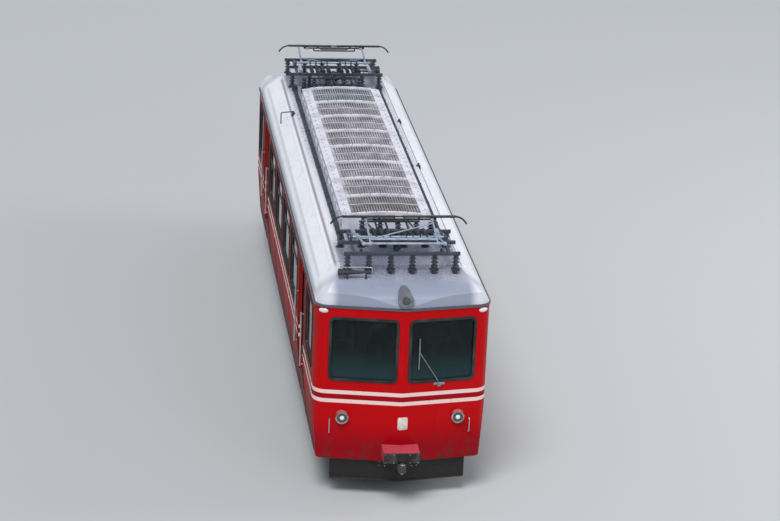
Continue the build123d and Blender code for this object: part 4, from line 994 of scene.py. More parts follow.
def placed(piece, places, turn=Matrix()):
    """Copies of a piece made at the origin, turned and set at each place, as one mesh."""
    copies = joined([carried(piece, Matrix.Translation(place) @ turn) for place in places])
    bpy.data.objects.remove(piece)
    return copies


def bolts(places, outward, radius=0.011, height=0.009):
    """Hexagon bolt heads on a face: one is made, and the rest are its copies."""
    choose()
    bpy.ops.mesh.primitive_cylinder_add(vertices=6, radius=radius, depth=height, location=(0, 0, height / 2))
    turn = Vector(outward).to_track_quat("Z", "Y").to_matrix().to_4x4()
    return placed(rounded(settled(), height / 5, 1), places, turn)


def coil(centre, radius, wire, low, high, turns, steps=16):
    """A coil spring: the wire's section, screwed up round a vertical axis and closed at its ends."""
    choose()
    bpy.ops.mesh.primitive_circle_add(vertices=8, radius=wire, location=(0, 0, 0),
                                      rotation=(math.pi / 2, 0, 0))
    bpy.ops.object.transform_apply(rotation=True)
    edit_all()
    bpy.ops.transform.translate(value=(radius, 0, 0))
    bpy.ops.object.mode_set(mode="OBJECT")
    pitch = (high - low - 2 * wire) / turns
    shaped(bpy.context.object, "SCREW", screw_offset=pitch, iterations=turns, steps=steps,
           render_steps=steps, use_normal_calculate=True)
    edit_all()
    bpy.ops.mesh.fill_holes(sides=8)
    bpy.ops.mesh.normals_make_consistent(inside=False)
    bpy.ops.transform.translate(value=(centre[0], centre[1], low + wire))
    bpy.ops.object.mode_set(mode="OBJECT")
    return settled()


def dress(name, pieces, material, moves=(), body="carbody"):
    """Pieces and their copies as one, with a name, a finish and a body to ride on."""
    piece = repeated(joined(pieces) if isinstance(pieces, list) else pieces, moves)
    piece.name = name
    piece.data.materials.clear()
    piece.data.materials.append(material)
    choose(piece)
    bpy.ops.object.shade_smooth_by_angle(angle=SMOOTH_BELOW)
    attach(piece, body)
    print(name, "rides", body, "with", sum(len(face.vertices) - 2 for face in piece.data.polygons),
          "triangles")
    return piece


def dress_each(name, piece, material, body, moves=BOTH_ENDS):
    """A copy of the piece for each end or door, named after it and riding on its own body."""
    for key, move in moves.items():
        dress(f"{name}_{key}", carried(piece, move), material, body=body.format(key))
    bpy.data.objects.remove(piece)


print("modelling helpers ready")

# %% [markdown]
# The face is a shallow prow: two flat planes that meet on the middle line, so what lies on it is placed by
# its height and its distance from the middle, and turned to its plane. The sides are upright above the waist
# and lean in below.

# %% Where the skin is
PROW_SLOPE = 0.17
WAIST_Z = 1.450
SKIRT_Z = 0.600
SKIRT_TUCK = 0.070
HALF_W = 1.300
PROW_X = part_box("end_wall_front")[1].x
FACE_OUT = Vector((1, PROW_SLOPE, 0)).normalized()
FACE_STRETCH = math.hypot(1, PROW_SLOPE)


def on_face(y, z, out=0.0):
    """The point of the front's skin at a distance from the middle and a height."""
    outward = Vector((FACE_OUT.x, math.copysign(FACE_OUT.y, y), 0))
    return Vector((PROW_X - PROW_SLOPE * abs(y), y, z)) + outward * out


def on_side(x, z, out=0.0):
    """The point of the +Y side's skin at a place along the car and a height."""
    lean = SKIRT_TUCK * max(0.0, WAIST_Z - z) / (WAIST_Z - SKIRT_Z)
    return Vector((x, HALF_W - lean + out, z))


print("prow at", round(PROW_X, 3), "side at the floor", round(on_side(0, 0.96).y, 3))

# %% [markdown]
# Each pane sits in a fat black rubber section that laps both the panel and the glass. It is a plane with
# bevelled corners, inset to a band and thickened: the same helper serves windscreens, side windows and door
# panes, so all the corners match. The opening's own edge is hidden under the rubber, as on the real car.

# %% Window rubbers
SCREEN_Y, SCREEN_W, SCREEN_Z0, SCREEN_Z1 = 0.585, 0.985, 1.870, 2.840
SALOON_XS, SALOON_W, SALOON_Z0, SALOON_Z1 = (0.775, 2.325), 1.250, 1.830, 2.850
SIDE_WINDOWS = [(x, SALOON_W, SALOON_Z0, SALOON_Z1) for x in SALOON_XS] + [(5.050, 1.000, 1.870, SALOON_Z1)]
WINDOW_R = 0.070
RUBBER_LAP = 0.020
RUBBER_BAND = 0.044
RUBBER_PROUD = 0.013


def rubber(centre, outward, width, height):
    """The section round an opening of this size."""
    return ring(centre, outward, width + 2 * RUBBER_LAP, height + 2 * RUBBER_LAP, WINDOW_R + RUBBER_LAP,
                RUBBER_BAND, RUBBER_PROUD)


dress("windscreen_rubbers", rubber(on_face(SCREEN_Y, (SCREEN_Z0 + SCREEN_Z1) / 2), FACE_OUT,
                                   SCREEN_W * FACE_STRETCH, SCREEN_Z1 - SCREEN_Z0), RUBBER_SEAL,
      TO_ALL_CORNERS)
side_rubbers = [rubber((x, HALF_W, (z0 + z1) / 2), (0, 1, 0), width, z1 - z0)
                for x, width, z0, z1 in SIDE_WINDOWS]
dress("side_window_rubbers", side_rubbers, RUBBER_SEAL, TO_ALL_CORNERS)

# %% [markdown]
# The saloon windows are sliding sashes: a thin dull frame inside the rubber, a rail across the upper third,
# and a pair of finger pulls under it. The frame is the same ring, narrower and set back against the pane.

# %% Window sashes
SASH_BACK = 0.020
SASH_RAIL_Z = 2.500
SASH_BAND = 0.022


def sash(x, width, z0, z1):
    """An inner frame against the pane, with a rail and two finger pulls where it slides."""
    half_w, face_y = width / 2 - 0.002, HALF_W - SASH_BACK
    pieces = [ring((x, face_y, (z0 + z1) / 2), (0, 1, 0), 2 * half_w, z1 - z0 - 0.004, WINDOW_R,
                   SASH_BAND + 0.018, 0.010, 0.0, 0.002)]
    if x in SALOON_XS:
        pieces.append(block((x - half_w, face_y, SASH_RAIL_Z - 0.018),
                            (x + half_w, face_y + 0.012, SASH_RAIL_Z + 0.018), 0.003))
        for pull in (x - 0.28, x + 0.28):
            pieces.append(block((pull - 0.05, face_y + 0.008, SASH_RAIL_Z - 0.036),
                                (pull + 0.05, face_y + 0.018, SASH_RAIL_Z - 0.022), 0.003))
    return joined(pieces)


dress("window_sashes", [sash(*window) for window in SIDE_WINDOWS], SASH_METAL,
      TO_ALL_CORNERS)

# %% [markdown]
# A headlamp is a plated rim round a dark ribbed glass, with a small hood over it that keeps rain off, painted
# like the body. The rim and the glass are spun from their outlines. The glass bulges and stands for the plain
# lens of the solids. A white disc in its middle is a painted highlight, the bulb's bright image. The roof
# lamp has a broad grey rim and a small amber middle.

# %% Lamps
LAMP_Y, LAMP_Z, LAMP_R = 0.870, 1.284, 0.092
LAMP_FRONT = PROW_X - PROW_SLOPE * LAMP_Y + 0.060
TOP_LAMP_Z, TOP_LAMP_R = 3.165, 0.112
TOP_LAMP_FRONT = PROW_X + 0.020
LAMP_RIM, TOP_LAMP_RIM = 0.016, 0.050
HEADLAMPS = [(y, LAMP_Z, LAMP_R, LAMP_FRONT, LAMP_RIM) for y in (LAMP_Y, -LAMP_Y)]
TOP_LAMP = (0.0, TOP_LAMP_Z, TOP_LAMP_R, TOP_LAMP_FRONT, TOP_LAMP_RIM)


def lamp_rim(y, z, radius, front, rim):
    inner = radius - rim
    outline = [(-0.012, radius + 0.001), (-0.012, radius + 0.005), (0.002, radius + 0.006),
               (0.007, radius - 0.002), (0.007, inner - 0.001), (0.001, inner - 0.003),
               (-0.004, inner - 0.003), (-0.012, radius + 0.001)]
    return turned((front, y, z), (1, 0, 0), outline, 40)


def lamp_glass(y, z, radius, front, rim):
    inner = radius - rim - 0.002
    bulge = [(math.cos(angle), math.sin(angle))
             for angle in [math.radians(75 - 15 * step) for step in range(5)]]
    outline = [(-0.019, inner), (-0.006, inner)] + [(-0.006 + 0.012 * c, inner * s) for c, s in bulge]
    return turned((front, y, z), (1, 0, 0), outline + [(0.006, 0.0)], 40)


def lamp_middle(y, z, middle, front):
    """A disc in the middle of the glass: on a headlamp a painted highlight for the bulb's bright image, on
    the roof lamp its amber middle.
    """
    outline = [(-0.004, middle), (0.0055, middle * 0.85), (0.0095, middle * 0.35), (0.0105, 0.0)]
    return turned((front, y, z), (1, 0, 0), outline)


def lamp_hood(y, z, radius, front, _):
    """A curved eyebrow over the lamp: part of a tube, left open below and thickened."""
    choose()
    bpy.ops.mesh.primitive_cylinder_add(vertices=40, radius=radius + 0.009, depth=0.115,
                                        end_fill_type="NOTHING", location=(front - 0.030, y, z),
                                        rotation=(0, math.pi / 2, 0))
    piece = settled()
    edit_all()
    bpy.ops.mesh.bisect(plane_co=(front, y, z + radius * 0.30), plane_no=(-0.35, 0, 1), clear_inner=True)
    bpy.ops.object.mode_set(mode="OBJECT")
    shaped(piece, "SOLIDIFY", thickness=0.003, offset=1)
    return rounded(piece, 0.001, 1)


dress("lamp_rims", [lamp_rim(*lamp) for lamp in HEADLAMPS], PLATED_METAL, TO_OTHER_END)
dress("top_lamp_rims", lamp_rim(*TOP_LAMP), FITTING_GREY, TO_OTHER_END)
glasses = dress("lamp_glasses", [lamp_glass(*lamp) for lamp in (*HEADLAMPS, TOP_LAMP)], LENS_GLASS,
                TO_OTHER_END)
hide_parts("lamp_lenses")
# A white disc in each headlamp: a painted highlight, the bulb's bright image.
bulbs = [lamp_middle(y, LAMP_Z, 0.42 * LAMP_R, LAMP_FRONT) for y in (LAMP_Y, -LAMP_Y)]
dress("lamp_bulbs", bulbs, LAMP_GLINT, TO_OTHER_END)
dress("top_lamp_bulbs", lamp_middle(0.0, TOP_LAMP_Z, 0.20 * TOP_LAMP_R, TOP_LAMP_FRONT), AMBER_GLASS,
      TO_OTHER_END)
dress("lamp_hoods", [lamp_hood(*lamp) for lamp in HEADLAMPS], RED_ENAMEL, TO_OTHER_END)

# %% [markdown]
# The face also carries a small number plate, a wiper on the driver's side, two marker lamps in the top
# corners and two hand grips. The plate is blank and bent over the prow's edge, so its front is two flat
# halves. The wiper is bars bent as a real one's are: a spindle, an arm that stands off the glass and a blade
# held at its middle.

# %% On the face
PLATE_Y, PLATE_Z, PLATE_W, PLATE_H = 0.030, 1.215, 0.150, 0.200
SPINDLE, BLADE_Y = (0.560, 1.805), 0.235


def number_plate():
    """A blank plate: a sheet with round corners laid over the prow, then thickened."""
    piece = round_sheet((PROW_X, PLATE_Y, PLATE_Z), (1, 0, 0), PLATE_W, PLATE_H, 0.025, 4)
    bpy.ops.mesh.bisect(plane_co=(PROW_X, 0, PLATE_Z), plane_no=(0, 1, 0))
    bpy.ops.object.mode_set(mode="OBJECT")
    for corner in piece.data.vertices:
        corner.co.x = PROW_X - PROW_SLOPE * abs(corner.co.y)
    shaped(piece, "SOLIDIFY", thickness=0.005, offset=1)
    return rounded(piece, 0.0015)


def wiper():
    """Spindle, arm and blade on the windscreen at +Y."""
    spindle = turned(on_face(*SPINDLE), FACE_OUT,
                     [(0.0, 0.0), (0.0, 0.030), (0.012, 0.028), (0.016, 0.014), (0.045, 0.012), (0.050, 0.0)],
                     20)
    arm = pipe([on_face(*SPINDLE, 0.036), on_face(0.520, 1.90, 0.030), on_face(0.245, 2.330, 0.030)],
               0.006, 0.02)
    blade = pipe([on_face(BLADE_Y, 2.075, 0.014), on_face(BLADE_Y, 2.560, 0.014)], 0.0075)
    bow = pipe([on_face(BLADE_Y, 2.150, 0.018), on_face(BLADE_Y + 0.005, 2.240, 0.030),
                on_face(BLADE_Y + 0.005, 2.400, 0.030), on_face(BLADE_Y, 2.490, 0.018)], 0.004, 0.03)
    housing = placed(block((-0.085, -0.020, -0.003), (0.085, 0.020, 0.016), 0.007), [on_face(0.560, 1.826)],
                     facing(FACE_OUT).to_4x4())
    return [spindle, arm, blade, bow, housing]


def marker_lamp():
    """A small white lamp where the face turns into the side: a spun dome, drawn out sideways."""
    dome = turned((0, 0, 0), (1, 0, 0), [(-0.02, 0.0), (-0.02, 0.036), (0.014, 0.036), (0.024, 0.028),
                                         (0.030, 0.016), (0.032, 0.0)])
    stretched = Matrix.Rotation(math.atan(0.50), 4, "Z") @ Matrix.Scale(2.0, 4, (0, 1, 0))
    return placed(dome, [on_face(1.185, 2.945, -0.021)], stretched)


def hand_grip(y, z0, z1):
    return pipe([on_face(y, z0), on_face(y, z0, 0.045), on_face(y, z1, 0.045), on_face(y, z1)], 0.009, 0.022)


dress("number_plates", number_plate(), PLATE_ENAMEL, TO_OTHER_END)
plate_rivets = [on_face(PLATE_Y + dy, PLATE_Z + dz, 0.004) for dy in (-0.058, 0.058)
                for dz in (-0.082, 0.082)]
dress("plate_rivets", bolts(plate_rivets, FACE_OUT, 0.005, 0.004), PLATED_METAL, TO_OTHER_END)
dress("wipers", wiper(), WIPER_METAL, TO_OTHER_END)
dress("marker_lamps", marker_lamp(), MARKER_WHITE, TO_ALL_CORNERS)
dress("hand_grips", hand_grip(1.045, 1.02, 1.24), HANDRAIL_STEEL, TO_ALL_CORNERS)

# %% [markdown]
# Doors get what a hand or foot meets: a rubber edge down the closing side, a recessed grip, a pane rubber and
# a worn tread on the step. Each leaf's pieces ride on that leaf. The leaf at the front right is dressed, and
# the others are its mirror images.

# %% Door leaves
LEAF_LOW, LEAF_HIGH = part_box("door_leaf_front_right")
PANE_LOW, PANE_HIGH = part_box("door_glass_front_right")
DOOR_X = (LEAF_LOW.x + LEAF_HIGH.x) / 2
LEAF_Y = LEAF_HIGH.y
DOOR_MOVES = {"front_right": Matrix(), "front_left": MIRROR, "rear_left": HALF_TURN,
              "rear_right": HALF_TURN @ MIRROR}
DOOR_HALF_W = 0.425


def pane_rubber():
    middle = (PANE_LOW + PANE_HIGH) / 2
    return ring((middle.x, LEAF_Y, middle.z), (0, 1, 0), PANE_HIGH.x - PANE_LOW.x + 0.030,
                PANE_HIGH.z - PANE_LOW.z + 0.030, 0.075, 0.032, 0.004, 0.006, 0.002)


def closing_edge():
    """A rubber nose on the leaf's closing edge, just inside the doorway."""
    x = DOOR_X + DOOR_HALF_W - 0.018
    return block((x - 0.012, LEAF_Y - 0.004, LEAF_LOW.z + 0.02),
                 (x + 0.012, LEAF_Y + 0.0035, LEAF_HIGH.z - 0.06), 0.0018)


def door_grip():
    """A shallow dish pressed into the leaf: a round-cornered sheet, inset twice and its middle pushed in."""
    piece = round_sheet((DOOR_X + 0.345, LEAF_Y + 0.0035, 1.98), (0, 1, 0), 0.050, 0.180, 0.020, 4)
    bpy.ops.mesh.select_mode(type="FACE")
    bpy.ops.mesh.select_all(action="SELECT")
    bpy.ops.mesh.inset(thickness=0.008)
    bpy.ops.mesh.extrude_region_move(TRANSFORM_OT_translate={"value": (0, -0.007, 0)})
    bpy.ops.mesh.inset(thickness=0.003)
    bpy.ops.mesh.select_mode(type="VERT")
    bpy.ops.object.mode_set(mode="OBJECT")
    return piece


dress_each("door_rubber", joined([pane_rubber(), closing_edge()]), RUBBER_SEAL, "door_{}",
           DOOR_MOVES)
dress_each("door_grip", door_grip(), PLATED_METAL, "door_{}", DOOR_MOVES)

# %% [markdown]
# Round each doorway runs a bead of rubber that follows the wall, upright above the waist and leaning below
# it. Over the door a drip rail throws rain to both sides. The sill has a plate with raised bars, and the step
# a folded tread.

# %% Doorways and steps
DOORWAY_X0, DOORWAY_X1 = DOOR_X - DOOR_HALF_W, DOOR_X + DOOR_HALF_W
DOORWAY_Z0, DOORWAY_Z1 = 0.960, 2.850
STEP_TOP, STEP_Y0, STEP_W = 0.573, 1.010, 0.200


def doorway_bead():
    near, far, top = DOORWAY_X0 - 0.006, DOORWAY_X1 + 0.006, DOORWAY_Z1 + 0.006
    corners = ((near, DOORWAY_Z0), (near, WAIST_Z), (near, top), (far, top), (far, WAIST_Z),
               (far, DOORWAY_Z0))
    return pipe([on_side(x, z, 0.001) for x, z in corners], 0.010)


def drip_rail():
    z, rise = DOORWAY_Z1 + 0.055, 0.035
    points = ((-0.56, 0.0, 0.004), (-0.28, 0.8, 0.006), (0.0, 1.0, 0.006), (0.28, 0.8, 0.006),
              (0.56, 0.0, 0.004))
    return pipe([on_side(DOOR_X + x, z + rise * up, out) for x, up, out in points], 0.008, 0.12)


def sill_plate():
    """A worn plate on the doorway's floor with three raised bars."""
    outer = on_side(0, DOORWAY_Z0).y + 0.004
    plate = block((DOORWAY_X0 + 0.004, outer - 0.044, DOORWAY_Z0 - 0.002),
                  (DOORWAY_X1 - 0.004, outer, DOORWAY_Z0 + 0.005), 0.002)
    bar = block((DOORWAY_X0 + 0.02, outer - 0.013, DOORWAY_Z0 + 0.003),
                (DOORWAY_X1 - 0.02, outer - 0.009, DOORWAY_Z0 + 0.0075), 0.001)
    return [plate, placed(bar, [(0, -0.011 * i, 0) for i in range(3)])]


def step_tread():
    """The step's tread: an upstanding lip along the front and raised bars across."""
    y1, bars = STEP_Y0 + STEP_W, 16
    lip = block((DOORWAY_X0, y1 - 0.006, STEP_TOP - 0.02), (DOORWAY_X1, y1 + 0.004, STEP_TOP + 0.010), 0.002)
    bar = block((-0.006, STEP_Y0 + 0.012, STEP_TOP - 0.001), (0.006, y1 - 0.010, STEP_TOP + 0.005), 0.002)
    pitch = (DOORWAY_X1 - DOORWAY_X0) / (bars + 0.5)
    return [lip, placed(bar, [(DOORWAY_X0 + (i + 0.75) * pitch, 0, 0) for i in range(bars)])]


dress("doorway_beads", doorway_bead(), RUBBER_SEAL, TO_ALL_CORNERS)
dress("drip_rails", drip_rail(), RED_ENAMEL, TO_ALL_CORNERS)
dress("sill_plates", sill_plate(), WORN_STEEL, TO_ALL_CORNERS)
dress("step_treads", step_tread(), WORN_STEEL, TO_ALL_CORNERS)

# %% [markdown]
# The sides are welded sheets, with cover strips where two sheets meet and an angle along the skirt. The
# strips are pipes half sunk in the skin, so they follow its lean without any fitting.

# %% Strips on the sides
JOINT_XS = (1.550, 3.180, 4.350, 5.700)
SKIRT_END_X = 5.650


def joint_strip(x):
    return pipe([on_side(x, SKIRT_Z + 0.004), on_side(x, WAIST_Z), on_side(x, 2.996)], 0.006)


def skirt_angle(x0, x1):
    low = on_side(0, SKIRT_Z).y
    return block((x0, low - 0.030, SKIRT_Z - 0.004), (x1, low + 0.006, SKIRT_Z + 0.026), 0.003)


dress("joint_strips", [repeated(joined([joint_strip(x) for x in JOINT_XS]), TO_ALL_CORNERS),
                       repeated(joint_strip(0.0), TO_OTHER_SIDE)], RED_ENAMEL)
angles = [repeated(skirt_angle(-DOORWAY_X0 + 0.002, DOORWAY_X0 - 0.002), TO_OTHER_SIDE),
          repeated(skirt_angle(DOORWAY_X1 + 0.002, SKIRT_END_X), TO_ALL_CORNERS)]
dress("skirt_angles", angles, CHASSIS_BLACK)

# %% [markdown]
# The hood is bolted down: heads in a row on every rib and along both rims, lifting eyes at its corners, and
# louvres pressed in its sides. A pale bar crosses every grille, and rows of resistors show dimly under the
# slots. Beside the hood a dark trough holds the conduit, and a joint box lies behind it. Each row is one
# small piece, copied.

# %% Hood details
HOOD_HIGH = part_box("resistor_hood")[1]
HOOD_HALF_L, HOOD_HALF_W = HOOD_HIGH.x, HOOD_HIGH.y
HOOD_SIDE_Z, HOOD_RISE, RIB_UP = 3.620, 0.050, 0.010
RIB_W, RIB_COUNT, OPEN_HALF_W = 0.064, 9, 0.545
CROWN_Z = 3.420
BAY = (2 * HOOD_HALF_L - RIB_W) / (RIB_COUNT - 1)
HOOD_ARC_R = (HOOD_HALF_W ** 2 + HOOD_RISE ** 2) / (2 * HOOD_RISE)
RIB_XS = [-HOOD_HALF_L + RIB_W / 2 + BAY * i for i in range(RIB_COUNT)]
BAY_XS = [x + BAY / 2 for x in RIB_XS[:-1]]
RIM_BOLT_X, RIM_BOLT_Y, RIM_BOLT_COUNT = 3.55, 0.635, 33
LOUVRE_Z, ROD_PITCH = 3.535, 0.075


def hood_top(y):
    """The hood's top surface over a distance from the middle."""
    return HOOD_SIDE_Z + HOOD_RISE - HOOD_ARC_R + math.sqrt(HOOD_ARC_R ** 2 - y * y)


def hood_bolts():
    ribs = [(x, y, hood_top(y) + RIB_UP - 0.001) for x in RIB_XS
            for y in (-0.48, -0.32, -0.16, 0.0, 0.16, 0.32, 0.48)]
    rims = [(RIM_BOLT_X * (2 * i / (RIM_BOLT_COUNT - 1) - 1), y, hood_top(y) - 0.001)
            for i in range(RIM_BOLT_COUNT) for y in (-RIM_BOLT_Y, RIM_BOLT_Y)]
    return [bolts(ribs, (0, 0, 1), 0.010, 0.008), bolts(rims, (0, 0, 1), 0.011, 0.008)]


def louvres():
    """Slanted hoods pressed in the side sheet: one is made, and six lie in each bay."""
    piece = cube((-0.150, HOOD_HALF_W - 0.007, LOUVRE_Z - 0.010),
                 (0.150, HOOD_HALF_W + 0.015, LOUVRE_Z + 0.010))
    for corner in piece.data.vertices:
        if corner.co.z > LOUVRE_Z and corner.co.y > HOOD_HALF_W:
            corner.co.y -= 0.013
    places = [(x + dx, 0, drop) for x in BAY_XS for dx in (-0.22, 0.22) for drop in (0.0, -0.045, -0.090)]
    return placed(rounded(piece, 0.002, 1), places)


def bay_bars():
    """The pale flat bar across the middle of each grille, bent like the ribs."""
    steps = 8
    ys = [OPEN_HALF_W * (2 * i / steps - 1) for i in range(steps + 1)]
    pieces = []
    for y0, y1 in zip(ys, ys[1:]):
        z0, z1 = hood_top(y0), hood_top(y1)
        half = math.hypot(y1 - y0, z1 - z0) / 2 + 0.001
        pieces.append(placed(block((-0.011, -half, -0.004), (0.011, half, 0.002), 0.001),
                             [(x, (y0 + y1) / 2, (z0 + z1) / 2) for x in BAY_XS],
                             Matrix.Rotation(math.atan2(z1 - z0, y1 - y0), 4, "X")))
    return pieces


def resistor_banks():
    """The rows of resistor rods that show dimly through the slots: one is made and copied along the hood."""
    z, first = hood_top(0.4) - 0.075, RIB_XS[0] + 0.07
    count = int((RIB_XS[-1] - RIB_XS[0] - 0.14) / ROD_PITCH) + 1
    return placed(pipe([(0, -0.52, z), (0, 0.52, z)], 0.026),
                  [(first + ROD_PITCH * i, 0, 0) for i in range(count)])


def cable_trough():
    """The dark channel along the hood's foot that the conduit lies in, with a joint cover every metre."""
    y0, y1, z0, z1 = HOOD_HALF_W + 0.044, HOOD_HALF_W + 0.114, CROWN_Z - 0.016, CROWN_Z + 0.050
    cover = block((-0.03, y0 - 0.004, z0), (0.03, y1 + 0.004, z1 + 0.005), 0.003)
    return [block((-4.16, y0, z0), (4.16, y1, z1), 0.006),
            placed(cover, [(-3.5 + i, 0, 0) for i in range(8)])]


def lifting_eye(x, y):
    low, high = hood_top(y) - 0.01, hood_top(y) + 0.055
    return pipe([(x - 0.04, y, low), (x - 0.04, y, high), (x + 0.04, y, high), (x + 0.04, y, low)], 0.009,
                0.035)


def rear_cover():
    """A low joint box between the hood's rear end and the pantograph, with a lid that overhangs it."""
    near = -HOOD_HALF_L - 0.004
    return [block((-3.845, -0.52, CROWN_Z - 0.02), (near, 0.52, CROWN_Z + 0.090), 0.006),
            block((-3.860, -0.535, CROWN_Z + 0.086), (near, 0.535, CROWN_Z + 0.106), 0.008)]


dress("hood_bolts", hood_bolts(), WORN_STEEL)
dress("hood_louvres", louvres(), HOOD_WHITE_PAINT, TO_OTHER_SIDE)
dress("lifting_eyes", lifting_eye(3.15, 0.62), HOOD_WHITE_PAINT, TO_ALL_CORNERS)
dress("bay_bars", bay_bars(), HOOD_WHITE_PAINT)
dress("resistor_banks", resistor_banks(), GRILLE_METAL)
dress("cable_troughs", cable_trough(), TROUGH_NAVY, TO_OTHER_SIDE)
dress("rear_cover", rear_cover(), TEAL_PAINT)

# %% [markdown]
# Each end carries the coupling. Its box has a bolted front plate, whose face is a block's front inset and
# pressed in, so a frame stands round it as on the casting. The pin is spun, and hangs through the tongue's
# eye with a split pin below. The rail guard has a round lip welded along its lower edge and bolts where its
# posts stand.

# %% Coupling and rail guard
BOX_FACE_X, BOX_HALF_W, BOX_Z0, BOX_Z1 = PROW_X + 0.295, 0.270, 0.700, 0.870
EYE_X, TONGUE_Z0, PIN_R = PROW_X + 0.366, 0.606, 0.026
GUARD_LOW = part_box("rail_guards")[0]
GUARD_INSET, GUARD_HALF_W = 0.060, 1.010


def coupler_plate():
    """The bolted plate: its front face chosen, inset and pressed in."""
    piece = cube((BOX_FACE_X - 0.001, 0.01 - BOX_HALF_W, BOX_Z0 + 0.007),
                 (BOX_FACE_X + 0.011, BOX_HALF_W - 0.01, BOX_Z1 - 0.007))
    bpy.ops.object.mode_set(mode="EDIT")
    bpy.ops.mesh.select_mode(type="FACE")
    bpy.ops.mesh.select_all(action="DESELECT")
    bpy.ops.object.mode_set(mode="OBJECT")
    for face in piece.data.polygons:
        face.select = face.normal.x > 0.9
    bpy.ops.object.mode_set(mode="EDIT")
    bpy.ops.mesh.inset(thickness=0.030)
    bpy.ops.transform.translate(value=(-0.006, 0, 0))
    bpy.ops.mesh.select_mode(type="VERT")
    bpy.ops.object.mode_set(mode="OBJECT")
    return rounded(piece, 0.002)


def coupler_pin():
    shank, z = PIN_R - 0.002, TONGUE_Z0 - 0.030
    pin = turned((EYE_X, 0, TONGUE_Z0), (0, 0, 1),
                 [(-0.045, 0.0), (-0.045, shank), (0.095, shank), (0.095, 0.042), (0.112, 0.042),
                  (0.120, 0.034), (0.120, 0.0)], 20)
    return [pin, pipe([(EYE_X, -0.040, z), (EYE_X, 0.040, z), (EYE_X, 0.052, z - 0.012)], 0.004)]


def guard_lip():
    x, z = PROW_X - GUARD_INSET, GUARD_LOW.z + 0.013
    side_x = x - PROW_SLOPE * GUARD_HALF_W
    return pipe([(side_x, -GUARD_HALF_W, z), (x, 0, z), (side_x, GUARD_HALF_W, z)], 0.012)


plate_bolts = [(BOX_FACE_X + 0.010, y, z) for y in (-0.245, -0.12, 0.12, 0.245) for z in (0.722, 0.848)]
guard_bolts = [on_face(y, z) - Vector((GUARD_INSET, 0, 0)) for y in (0.20, 0.28) for z in (0.56, 0.50)]
fixings = [bolts(plate_bolts, (1, 0, 0), 0.012, 0.010), *coupler_pin(),
           repeated(bolts(guard_bolts, FACE_OUT, 0.012, 0.010), TO_OTHER_SIDE)]
dress("coupler_plates", coupler_plate(), COUPLER_IRON, TO_OTHER_END)
dress("coupler_fixings", fixings, WORN_STEEL, TO_OTHER_END)
dress("guard_lips", guard_lip(), GUARD_BLACK, TO_OTHER_END)

# %% [markdown]
# The bogies show beside the wheels: coil springs over the axleboxes and under the body, covers bolted on the
# boxes, ties under the guides, brake rods and sand pipes. One side of the front bogie is made. Its mirror
# image makes the other side and a half turn the rear bogie, so each set rides on its own bogie.

# %% Bogie springs
SILL_Y, SILL_W, SILL_Z0, SILL_Z1 = 0.745, 0.110, 0.600, 0.690
AXLEBOX_FACE_Y, AXLEBOX_HALF_W, GUIDE_T = 0.835, 0.105, 0.040
AXLE_XS = (BOGIE_X - WHEELBASE / 2, BOGIE_X + WHEELBASE / 2)
BODY_SPRING_R, AXLE_SPRING_R = 0.080, 0.075
AXLEBOX_Z1 = AXLE_Z + 0.092

springs = [coil((x, SILL_Y), AXLE_SPRING_R + 0.004, 0.010, AXLEBOX_Z1, SILL_Z0, 4) for x in AXLE_XS]
springs.append(coil((BOGIE_X, SILL_Y), BODY_SPRING_R + 0.005, 0.012, SILL_Z1, SILL_Z1 + 0.168, 5))
dress_each("bogie_springs", repeated(joined(springs), TO_OTHER_SIDE), SPRING_STEEL,
           "bogie_{}")

# %% [markdown]
# An axlebox cover is spun, with a raised middle, an oil plug and six bolts. Below each box a flat tie holds
# the two guides together, so the box can't leave them. The brake rod pulls both shoes of a side.

# %% Bogie fittings


def axlebox_cover(x):
    cover = turned((x, AXLEBOX_FACE_Y, AXLE_Z), (0, 1, 0),
                   [(-0.002, 0.0), (-0.002, 0.082), (0.012, 0.082), (0.016, 0.078), (0.016, 0.056),
                    (0.028, 0.050), (0.030, 0.0)], 32)
    angles = [math.radians(30 + 60 * i) for i in range(6)]
    places = [(x + 0.068 * math.cos(a), AXLEBOX_FACE_Y + 0.015, AXLE_Z + 0.068 * math.sin(a)) for a in angles]
    plug = turned((x + 0.02, AXLEBOX_FACE_Y + 0.028, AXLE_Z - 0.018), (0, 1, 0),
                  [(0.0, 0.0), (0.0, 0.012), (0.010, 0.010), (0.010, 0.0)], 8)
    return [cover, bolts(places, (0, 1, 0), 0.009, 0.009), plug]


def guide_tie(x):
    reach = AXLEBOX_HALF_W + GUIDE_T
    pieces = [block((x - reach - 0.014, SILL_Y - 0.030, 0.258), (x + reach + 0.014, SILL_Y + 0.030, 0.272),
                    0.003)]
    for side in (-1, 1):
        x0, x1 = sorted((x + side * (reach + 0.001), x + side * (reach + 0.014)))
        pieces.append(block((x0, SILL_Y - 0.030, 0.262), (x1, SILL_Y + 0.030, 0.400), 0.003))
        pieces.append(bolts([(x + side * (reach + 0.014), SILL_Y, 0.368)], (side, 0, 0), 0.012, 0.010))
    return pieces


def brake_rod():
    y, z, ends = 0.600, 0.545, (AXLE_XS[0] + 0.411, AXLE_XS[1] - 0.411)
    forks = [block((x - 0.026, 0.548, z - 0.024), (x + 0.026, 0.624, z + 0.024), 0.006) for x in ends]
    return [pipe([(x, y, z) for x in ends], 0.014), *forks]


def sand_pipe():
    """A pipe that brings sand to the first wheel's tread."""
    x = AXLE_XS[1] + 0.430
    return pipe([(x, 0.640, SILL_Z0 + 0.010), (x, 0.560, 0.470), (x - 0.020, 0.532, 0.140)], 0.013, 0.06)


